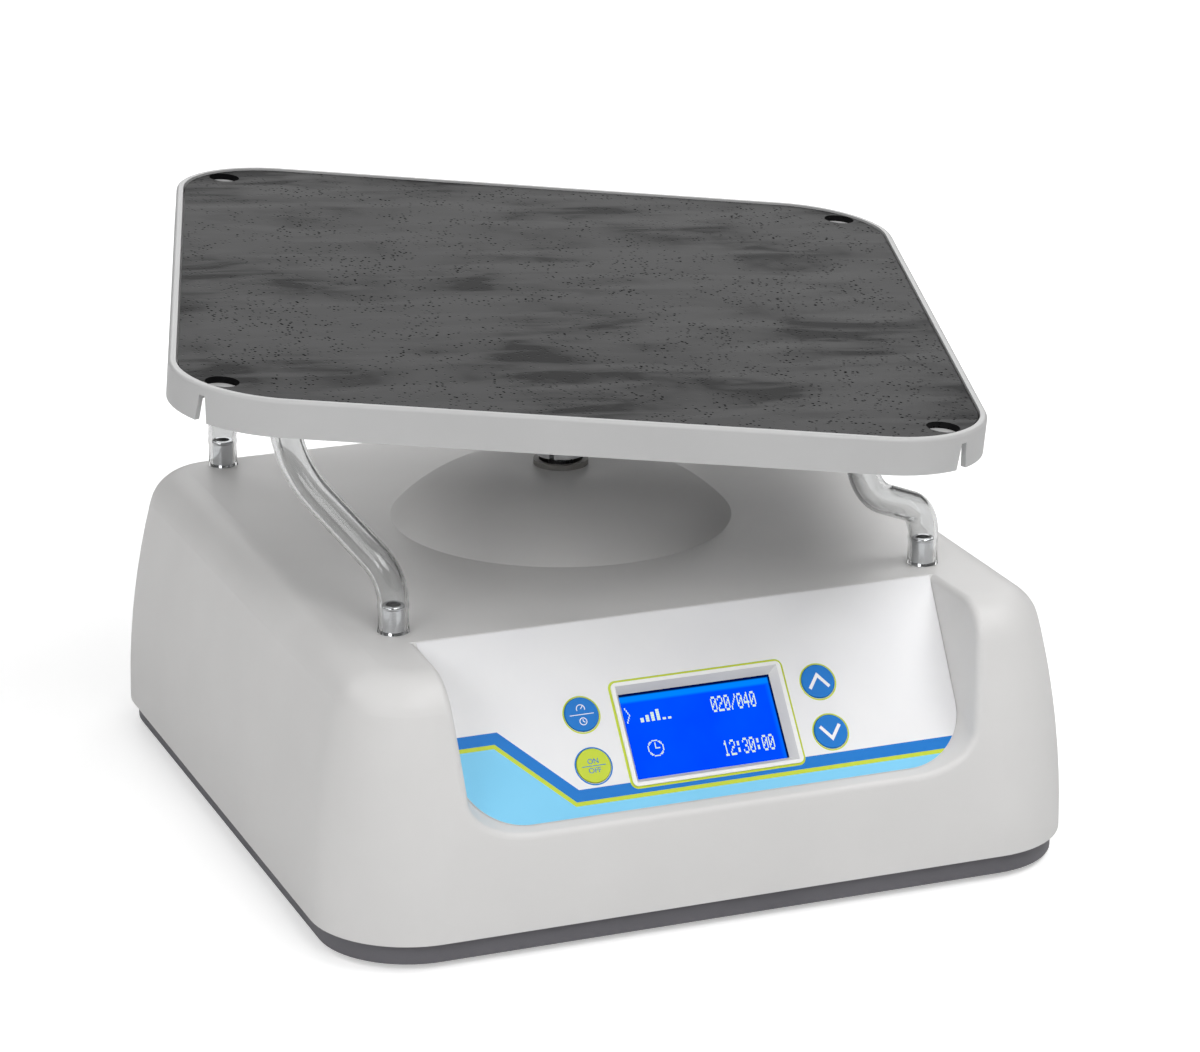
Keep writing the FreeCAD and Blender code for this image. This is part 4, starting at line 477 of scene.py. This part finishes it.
def make_finishes():
    """The material of each of the record's slots."""
    return {
        "housing_plastic": moulded("housing_plastic", srgb(220, 219, 218), srgb(216, 215, 214), 0.46),
        "base_plastic": moulded("base_plastic", srgb(105, 104, 109), srgb(99, 98, 103), 0.5),
        "ring_plastic": moulded("ring_plastic", srgb(150, 148, 144), srgb(142, 140, 136), 0.45),
        "tray_plastic": moulded("tray_plastic", srgb(189, 189, 189), srgb(185, 185, 185), 0.42),
        "mat_rubber": mat_rubber(),
        "belt_rubber": foot_rubber("belt_rubber"),
        "clear_vinyl": clear_vinyl(),
        "overlay": printed("overlay", srgb(237, 237, 238), srgb(234, 234, 236)),
        "white_plastic": moulded(
            "white_plastic", srgb(238, 238, 237), srgb(235, 235, 234), 0.33, depth=0.004
        ),
        "display": lit_display(),
        "button_blue": printed("button_blue", srgb(0, 120, 206), srgb(0, 116, 202)),
        "button_lime": printed("button_lime", srgb(198, 214, 58), srgb(194, 211, 54)),
        "circuit_board": circuit_board(),
        "black_plastic": moulded("black_plastic", srgb(30, 30, 32), srgb(25, 25, 27), 0.42, depth=0.01),
        "steel": metal("steel", srgb(192, 193, 195), srgb(168, 169, 172), 0.3, size=0.9),
        "chrome": metal(
            "chrome", srgb(232, 233, 235), srgb(222, 223, 226), 0.12, (1, 1, 0.2), 2.0, 0.002, 0.05
        ),
        "aluminium": metal("aluminium", srgb(206, 207, 208), srgb(188, 189, 191), 0.36, (1, 1, 0.25), 2.2),
        "motor_paint": moulded("motor_paint", srgb(58, 60, 64), srgb(50, 52, 56), 0.4, depth=0.02),
    }


def dress_frame(finishes):
    """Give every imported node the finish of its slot."""
    for part in frame["record"]["subparts"]:
        mesh = nodes[part["node"]].data
        mesh.materials.clear()
        mesh.materials.append(finishes[part["material_slot"]])
    feet = foot_rubber()
    for name, node in nodes.items():
        if name.startswith("foot_"):
            node.data.materials[0] = feet


def circle(u, v, radius, sides=64, start=0.0, sweep=360.0):
    """Points round a circle, or along an arc of it; angles are degrees from the right, anticlockwise."""
    count = sides + 1 if sweep < 360 else sides
    turns = [math.radians(start + sweep * i / sides) for i in range(count)]
    return [(u + radius * math.cos(t), v + radius * math.sin(t)) for t in turns]


def rounded_rectangle(half_u, half_v, corner, sides=12):
    points = []
    for k, (su, sv) in enumerate(((1, 1), (-1, 1), (-1, -1), (1, -1))):
        points += circle(su * (half_u - corner), sv * (half_v - corner), corner, sides, 90 * k, 90)
    return points


def label_outline():
    """The edge of the panel's film, drawn in a little from the film itself and a little wider at the top."""
    low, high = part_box("panel_overlay")
    steep = UP.z
    bottom = (low.z - PANEL_CENTRE.z) / MM / steep + LABEL_EDGE
    top = (high.z - PANEL_CENTRE.z) / MM / steep - LABEL_EDGE
    top_half = high.x / MM - LABEL_EDGE
    lean = math.atan(LABEL_SPREAD)
    corner_v = bottom + LABEL_CORNER
    corner_u = top_half - LABEL_SPREAD * (top - corner_v) - LABEL_CORNER / math.cos(lean)
    corner = circle(corner_u, corner_v, LABEL_CORNER, 24, -90, 90 - math.degrees(lean))
    right = corner + [(top_half, top)]
    return right + [(-u, v) for u, v in right[::-1]]


def clipped(points, outline):
    """The part of a polygon inside a convex outline that runs anticlockwise."""
    for (u0, v0), (u1, v1) in zip(outline, outline[1:] + outline[:1]):

        def inside(p):
            return (u1 - u0) * (p[1] - v0) - (v1 - v0) * (p[0] - u0)

        kept = []
        for p, q in zip(points, points[1:] + points[:1]):
            a, b = inside(p), inside(q)
            if a >= 0:
                kept.append(p)
            if a * b < 0:
                share = a / (a - b)
                kept.append((p[0] + (q[0] - p[0]) * share, p[1] + (q[1] - p[1]) * share))
        points = kept
    return points


def stroke(points, width):
    """The outline of a line of constant width with square ends and mitred corners."""
    sides = ([], [])
    for i, p in enumerate(points):
        before = Vector(points[max(i - 1, 0)])
        after = Vector(points[min(i + 1, len(points) - 1)])
        here = Vector(p)
        first = (here - before if i else after - here).normalized()
        last = (after - here if i < len(points) - 1 else first).normalized()
        across = Vector((-first.y - last.y, first.x + last.x)).normalized()
        reach = width / 2 / max(across.dot(Vector((-first.y, first.x))), MITRE_LIMIT)
        sides[0].append(tuple(here + across * reach))
        sides[1].append(tuple(here - across * reach))
    return sides[0] + sides[1][::-1]


def slab(mesh, place, outline, low, high):
    """A closed plate between two heights over a surface."""
    bottom = [mesh.verts.new(place(u, v, low)) for u, v in outline]
    top = [mesh.verts.new(place(u, v, high)) for u, v in outline]
    mesh.faces.new(top)
    mesh.faces.new(bottom[::-1])
    for i in range(len(outline)):
        mesh.faces.new((bottom[i - 1], bottom[i], top[i], top[i - 1]))


def loop_slab(mesh, place, inner, outer, low, high):
    """A closed plate between an inner and an outer line of as many points."""
    lines = ((outer, low), (outer, high), (inner, high), (inner, low))
    loops = [[mesh.verts.new(place(u, v, w)) for u, v in line] for line, w in lines]
    for near, far in zip(loops, loops[1:] + loops[:1]):
        for i in range(len(inner)):
            mesh.faces.new((near[i - 1], near[i], far[i], far[i - 1]))


def piece_from(mesh, name, material, body):
    """Turn a bmesh into a piece that rides on a body."""
    bmesh.ops.recalc_face_normals(mesh, faces=mesh.faces)
    data = bpy.data.meshes.new(name)
    mesh.to_mesh(data)
    mesh.free()
    data.materials.append(material)
    piece = bpy.data.objects.new(name, data)
    bpy.context.scene.collection.objects.link(piece)
    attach(piece, body)
    return piece


def print_shape(name, outlines, material, low=0.0, body="base", place=on_panel, thickness=PRINT):
    """A piece made of plates; an outline given as a pair of lines is a loop between them."""
    mesh = bmesh.new()
    for outline in outlines:
        if len(outline) == 2:
            loop_slab(mesh, place, outline[0], outline[1], low, low + thickness)
        else:
            slab(mesh, place, outline, low, low + thickness)
    return piece_from(mesh, name, material, body)


def band_line(rise):
    """The line of the panel's bands, with a step up at 45 degrees; moved up by rise it keeps its distance."""
    reach = 200.0
    chamfer = BAND_CHAMFER_U + rise * math.tan(math.radians(45 / 2))
    low = BAND_V + rise
    return [(reach, low), (chamfer, low), (chamfer - BAND_STEP, low + BAND_STEP), (-reach, low + BAND_STEP)]


def band_pieces(low_line, high_line):
    """A band's outlines, cut to the film and to the display's frame, under the line round that frame."""
    band = low_line + high_line[::-1]
    inside = label_outline()
    side = BEZEL_HALF_U
    under = -BEZEL_HALF_V
    far = 300.0
    cuts = (
        [(-far, -far), (-side, -far), (-side, far), (-far, far)],
        [(side, -far), (far, -far), (far, far), (side, far)],
        [(-side, -far), (side, -far), (side, under), (-side, under)],
    )
    cut = [clipped(clipped(band, inside), box) for box in cuts]
    return [outline for outline in cut if len(outline) > 2]


def print_bands(inks):
    """Light blue along the foot of the panel, stepped up at the left, with a lime and a blue stripe on it."""
    floor = [(u, v - 100.0) for u, v in band_line(0.0)]
    heights = (
        ("light_band", "light_blue", None, 0.0),
        ("lime_stripe", "lime", 0.0, LIME_STRIPE),
        ("blue_stripe", "blue", LIME_STRIPE, LIME_STRIPE + BLUE_STRIPE),
    )
    for name, ink, low, high in heights:
        lower = floor if low is None else band_line(low)
        print_shape(name, band_pieces(lower, band_line(high)), inks[ink])


def print_frames(inks):
    """The lime line round the display's frame and the thin rings round the buttons."""
    outer = rounded_rectangle(BEZEL_HALF_U + BEZEL_LINE, BEZEL_HALF_V + BEZEL_LINE, BEZEL_CORNER + BEZEL_LINE)
    inner = rounded_rectangle(BEZEL_HALF_U - BEZEL_LAP, BEZEL_HALF_V - BEZEL_LAP, BEZEL_CORNER)
    print_shape("bezel_line", [(inner, outer)], inks["lime"], thickness=2 * PRINT)
    for name in ("left_upper", "left_lower", "right_upper", "right_lower"):
        u, v = panel_place(middle("button_" + name))
        ring = (circle(u, v, BUTTON_HOLE + BUTTON_LINE_GAP), circle(u, v, BUTTON_HOLE + BUTTON_LINE))
        ink = inks["blue"] if name == "left_lower" else inks["lime"]
        print_shape("ring_" + name, [ring], ink)


def words(name, text, size, u, v, w, material, body):
    """Flat lettering on the panel, centred on a place."""
    curve = bpy.data.curves.new(name, "FONT")
    curve.body = text
    curve.size = size * MM
    curve.align_x = "CENTER"
    curve.align_y = "CENTER"
    curve.extrude = PRINT * MM / 2
    shape = bpy.data.objects.new(name, curve)
    flat = bpy.data.meshes.new_from_object(shape)
    bpy.data.objects.remove(shape)
    turn = Matrix((ACROSS, UP, OUT)).transposed().to_4x4()
    flat.transform(Matrix.Translation(on_panel(u, v, w + PRINT / 2)) @ turn)
    flat.materials.clear()
    flat.materials.append(material)
    piece = bpy.data.objects.new(name, flat)
    bpy.context.scene.collection.objects.link(piece)
    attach(piece, body)
    return piece


def print_buttons(inks):
    """Marks on the buttons: arrows at the right, a dial and a clock, and on and off, at the left."""
    for name, way in (("right_upper", 1), ("right_lower", -1)):
        body = "button_" + name
        u, v = panel_place(middle(body))
        foot = v - ARROW_FOOT * way
        arrow = stroke([(u - ARROW_HALF, foot), (u, v + ARROW_TIP * way), (u + ARROW_HALF, foot)], ARROW_LINE)
        print_shape("arrow_" + name, [arrow], inks["white"], BUTTON_FRONT, body)
    body = "button_left_upper"
    u, v = panel_place(middle(body))
    middle_v = v + DIAL_V
    dial = stroke(circle(u, middle_v, DIAL_RADIUS, 24, -20, 220), MARK_LINE)
    pointer = stroke([(u, middle_v), (u + 1.1, middle_v + 1.3)], MARK_LINE)
    middle_v = v + CLOCK_V
    clock = (circle(u, middle_v, CLOCK_RADIUS - MARK_LINE, 32), circle(u, middle_v, CLOCK_RADIUS, 32))
    hands = stroke([(u, middle_v + 1.1), (u, middle_v), (u + 0.8, middle_v - 0.5)], BAR_LINE)
    bar = stroke([(u - BAR_HALF, v), (u + BAR_HALF, v)], BAR_LINE)
    marks = [dial, pointer, clock, hands, bar]
    print_shape("marks_left_upper", marks, inks["white"], BUTTON_FRONT, body)
    body = "button_left_lower"
    u, v = panel_place(middle(body))
    bar = stroke([(u - BAR_HALF, v), (u + BAR_HALF, v)], BAR_LINE)
    print_shape("bar_left_lower", [bar], inks["blue"], BUTTON_FRONT, body)
    words("on_left_lower", "ON", LETTERS, u, v + 2.0, BUTTON_FRONT, inks["blue"], body)
    words("off_left_lower", "OFF", LETTERS, u, v - 2.2, BUTTON_FRONT, inks["blue"], body)


def dot_box(left, top, wide, tall):
    """The outline of one lit dot, from the corner of the viewing area."""
    u = left - VIEW_HALF_U
    v = VIEW_HALF_V - top
    return [(u, v - tall), (u + wide, v - tall), (u + wide, v), (u, v)]


def display_text(text, left, top):
    """The lit dots of a line of characters."""
    dots = []
    for k, character in enumerate(text):
        for row, line in enumerate(DOTS[character].split()):
            for column, lit in enumerate(line):
                if lit == "1":
                    x = left + k * CHARACTER_PITCH + column * DOT_WIDE
                    y = top + row * DOT_TALL
                    dots.append(dot_box(x, y, DOT_WIDE * DOT_FILL, DOT_TALL * DOT_FILL_TALL))
    return dots


def display_gauge(left, bottom, heights=(2, 3, 4, 5, 1, 1)):
    """A row of bars of the given heights in dots, each three dots wide."""
    dots = []
    for k, height in enumerate(heights):
        for row in range(height):
            for column in range(3):
                x = left + k * GAUGE_PITCH + column * DOT_WIDE
                y = bottom - (row + 1) * DOT_TALL
                dots.append(dot_box(x, y, DOT_WIDE * DOT_FILL, DOT_TALL * DOT_FILL_TALL))
    return dots


def display_clock(left, top, size=13):
    """A clock face drawn in single dots, with one hand up and one to the right."""
    centre = size // 2
    lit = set()
    for step in range(72):
        turn = math.radians(5 * step)
        lit.add((round(centre + centre * math.cos(turn)), round(centre + centre * math.sin(turn))))
    lit |= {(centre, centre - row) for row in range(5)}
    lit |= {(centre + column, centre) for column in range(4)}
    side = CLOCK_PITCH * DOT_FILL
    return [dot_box(left + c * CLOCK_PITCH, top + r * CLOCK_PITCH, side, side) for c, r in sorted(lit)]


def light_display():
    """The lit dots: a cursor, a gauge and its value, a clock and its time."""
    dots = display_text(">", left=1.4, top=6.3)
    dots += display_gauge(left=7.8, bottom=13.9)
    dots += display_text("020/040", left=42.3, top=6.6)
    dots += display_clock(left=8.0, top=22.6)
    dots += display_text("12:30:00", left=43.0, top=27.4)
    print_shape("display_dots", dots, lit_dots(), low=-GLASS_FRONT, thickness=DOT_PROUD)


def print_rocker(inks):
    """The line and the ring on the power switch, laid on its two leaning faces."""
    rocker = nodes["switch_rocker"]
    corners = [v.co for v in rocker.data.vertices]
    tree = BVHTree.FromPolygons(corners, [p.vertices for p in rocker.data.polygons])
    centre = middle("switch_rocker")

    def on_rocker(u, v, w):
        start = Vector((centre.x - u * MM, centre.y + 0.05, centre.z + v * MM))
        hit, normal, _, _ = tree.ray_cast(start, Vector((0, -1, 0)))
        return hit + normal * w * MM

    half, low, high = ROCKER_LINE_HALF, ROCKER_LINE_LOW, ROCKER_LINE_HIGH
    line = [(-half, low), (half, low), (half, high), (-half, high)]
    ring = [circle(0, ROCKER_RING_V, radius, 32) for radius in (ROCKER_RING_INSIDE, ROCKER_RING_OUTSIDE)]
    print_shape(
        "rocker_marks", [line, ring], inks["white"],
        body="rocker", place=on_rocker, thickness=ROCKER_PRINT,
    )


def tray_matrix():
    """Where the tray's own frame lies at rest: leaning on the pin's axis, rim level at its origin."""
    pin = joint("deck_bearing")
    lean = Vector((0, 0, 1)).rotation_difference(Vector(pin["axis"])).to_matrix().to_4x4()
    drop = Matrix.Translation((0, 0, -RIM_BELOW_PIVOT * MM))
    turn = Matrix.Rotation(math.radians(TRAY_TURN), 4, "Z")
    return Matrix.Translation(pin["pos_m"]) @ lean @ drop @ turn


def rounded_route(corners, reaches, steps=24):
    """Straight runs joined by arcs, each of which starts a reach before its corner."""
    route = [corners[0]]
    for before, corner, after, reach in zip(corners, corners[1:], corners[2:], reaches):
        back = (before - corner).normalized()
        on = (after - corner).normalized()
        half = back.angle(on) / 2
        centre = corner + (back + on).normalized() * reach / math.cos(half)
        start = corner + back * reach - centre
        axis = back.cross(on).normalized()
        for i in range(steps + 1):
            turn = Quaternion(axis, -(math.pi - 2 * half) * i / steps)
            route.append(centre + turn @ start)
    return route + [corners[-1]]


def spaced(route, count):
    """The route's points again, evenly spaced, with how far along each lies."""
    lengths = [0.0]
    for p, q in zip(route, route[1:]):
        lengths.append(lengths[-1] + (q - p).length)
    points = []
    k = 0
    for i in range(count):
        along = lengths[-1] * i / (count - 1)
        while k < len(route) - 2 and lengths[k + 1] < along:
            k += 1
        share = (along - lengths[k]) / (lengths[k + 1] - lengths[k])
        points.append((route[k].lerp(route[k + 1], share), along))
    return points


def tube_bore(from_end):
    """The tube's inner radius: tight on the peg, swollen over its lip, then free. Millimetres."""
    over_lip = math.exp(-(((from_end - PEG_LIP_LEVEL) / PEG_LIP_REACH) ** 2))
    free = 1 / (1 + math.exp(-(from_end - PEG_GRIP - TUBE_FREE_START) / TUBE_FREE_REACH))
    grip = PEG_RADIUS + PEG_FIT + (PEG_LIP - PEG_RADIUS) * over_lip
    return grip + (TUBE_BORE - grip) * free


def tube_outside(from_end):
    """The outer radius, with the slight flare of a cut end pushed home."""
    flare = TUBE_FLARE * math.exp(-from_end / TUBE_FLARE_REACH)
    return tube_bore(from_end) + TUBE_WALL + flare


def make_tube(name, side, end, material):
    """A clear tube as a closed wall round its bore, from the case to the tray, hooked to the tray's moves."""
    tray = tray_matrix()
    x, y = side * PEG_X, end * PEG_Y
    corners = [
        Vector((x, y, CASE_TOP + TUBE_END_GAP)) * MM,
        Vector((x, y, CASE_TOP + TUBE_RISE)) * MM,
        tray @ (Vector((x, y, -TRAY_UNDERSIDE - TUBE_DROP)) * MM),
        tray @ (Vector((x, y, -TRAY_UNDERSIDE - TUBE_END_GAP)) * MM),
    ]
    stations = spaced(rounded_route(corners, (TUBE_LOW_REACH * MM, TUBE_HIGH_REACH * MM)), TUBE_STATIONS)
    length = stations[-1][1]
    mesh = bmesh.new()
    sway = mesh.verts.layers.deform.verify()
    direction = (stations[1][0] - stations[0][0]).normalized()
    across = direction.orthogonal().normalized()
    walls = ([], [])
    for k, (centre, along) in enumerate(stations):
        ahead = stations[min(k + 1, len(stations) - 1)][0] - stations[max(k - 1, 0)][0]
        turn = direction.rotation_difference(ahead.normalized())
        direction = ahead.normalized()
        across = (turn @ across).normalized()
        beside = direction.cross(across)
        from_end = min(along, length - along) / MM
        share = (along / MM - PEG_GRIP) / (length / MM - 2 * PEG_GRIP)
        share = min(max(share, 0.0), 1.0)
        for wall, radius in zip(walls, (tube_outside(from_end), tube_bore(from_end))):
            loop = []
            for i in range(TUBE_SIDES):
                angle = 2 * math.pi * i / TUBE_SIDES
                point = centre + (across * math.cos(angle) + beside * math.sin(angle)) * radius * MM
                vertex = mesh.verts.new(point)
                vertex[sway][0] = share * share * (3 - 2 * share)
                loop.append(vertex)
            wall.append(loop)
    skin = walls[0] + walls[1][::-1]
    for near, far in zip(skin, skin[1:] + skin[:1]):
        for i in range(TUBE_SIDES):
            face = mesh.faces.new((near[i - 1], near[i], far[i], far[i - 1]))
            face.smooth = True
    for first, last in ((walls[0][0], walls[1][0]), (walls[0][-1], walls[1][-1])):
        for loop in (first, last):
            for i in range(TUBE_SIDES):
                mesh.edges.get((loop[i - 1], loop[i])).smooth = False
    tube = piece_from(mesh, name, material, "base")
    tube.vertex_groups.new(name="sway")
    hook = tube.modifiers.new("sway", "HOOK")
    hook.object = frame["bodies"]["platform"]
    hook.vertex_group = "sway"
    hook.falloff_type = "NONE"
    hook.matrix_inverse = Matrix.Identity(4)
    return tube


def make_tubes(material):
    for end, y_side in (("front", -1), ("back", 1)):
        for hand, x_side in (("left", -1), ("right", 1)):
            name = f"clear_tube_{end}_{hand}"
            tube = make_tube("bent_" + name, x_side, y_side, material)
            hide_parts(name)


def camera_axes():
    """The camera's right, up and backward directions."""
    azimuth, elevation, roll = (math.radians(a) for a in (CAMERA_AZIMUTH, CAMERA_ELEVATION, CAMERA_ROLL))
    level = Vector((math.cos(azimuth), math.sin(azimuth), 0))
    back = Vector((
        math.sin(azimuth) * math.cos(elevation),
        -math.cos(azimuth) * math.cos(elevation),
        math.sin(elevation),
    ))
    above = back.cross(level)
    right = level * math.cos(roll) + above * math.sin(roll)
    up = above * math.cos(roll) - level * math.sin(roll)
    return right, up, back


def make_camera():
    camera = bpy.data.objects.new("camera", bpy.data.cameras.new("camera"))
    camera.data.lens = CAMERA_LENS
    camera.data.clip_end = 50
    camera.matrix_world = Matrix.Translation(CAMERA_PLACE) @ Matrix(camera_axes()).transposed().to_4x4()
    bpy.context.scene.collection.objects.link(camera)
    bpy.context.scene.camera = camera


def make_lamp(name, azimuth, elevation, power):
    """A soft box that faces the object; its azimuth runs from the panel's side towards the right."""
    lamp = bpy.data.lights.new(name, "AREA")
    lamp.shape = "DISK"
    lamp.size = LAMP_SIZE
    lamp.energy = power
    piece = bpy.data.objects.new(name, lamp)
    turn, rise = math.radians(azimuth), math.radians(elevation)
    way = Vector((math.sin(turn) * math.cos(rise), -math.cos(turn) * math.cos(rise), math.sin(rise)))
    piece.location = way * LAMP_DISTANCE + Vector((0, 0, LAMP_AIM))
    piece.rotation_mode = "QUATERNION"
    piece.rotation_quaternion = (-way).to_track_quat("-Z", "Y")
    bpy.context.scene.collection.objects.link(piece)


def make_world():
    """Dim light from everywhere; white to the camera, and where the clear tubes show what is behind them."""
    world = bpy.data.worlds.new("studio")
    world.use_nodes = True
    tree = world.node_tree
    way = add(tree, "ShaderNodeTexCoord").outputs["Generated"]
    ahead = ranged(tree, dot_product(tree, way, camera_axes()[2] * -1), *WHITE_AHEAD, 0.0, 1.0)
    path = add(tree, "ShaderNodeLightPath").outputs
    through = times(tree, path["Is Transmission Ray"], ahead)
    white = larger(tree, path["Is Camera Ray"], through)
    strength = ranged(tree, white, 0.0, 1.0, AMBIENT, 1.0)
    tree.links.new(strength, tree.nodes["Background"].inputs["Strength"])
    tree.nodes["Background"].inputs["Color"].default_value = (1.0, 1.0, 1.0, 1.0)
    bpy.context.scene.world = world


def make_studio():
    """White floor, world and lamps."""
    bpy.ops.mesh.primitive_plane_add(size=FLOOR_SIZE)
    floor = bpy.context.object
    floor.name = "floor"
    floor.data.materials.append(white_floor())
    make_world()
    for name, azimuth, elevation, power in LAMPS:
        make_lamp(name, azimuth, elevation, power)


def main():
    scene = bpy.context.scene
    scene.view_settings.view_transform = "Standard"
    make_camera()
    make_studio()
    finishes = make_finishes()
    dress_frame(finishes)
    inks = {
        "blue": finishes["button_blue"],
        "lime": finishes["button_lime"],
        "light_blue": printed("light_blue", srgb(130, 208, 244), srgb(126, 205, 242)),
        "white": printed("white_ink", srgb(244, 245, 246), srgb(240, 241, 243)),
    }
    print_bands(inks)
    print_frames(inks)
    print_buttons(inks)
    light_display()
    print_rocker(inks)
    make_tubes(finishes["clear_vinyl"])
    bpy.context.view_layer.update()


main()
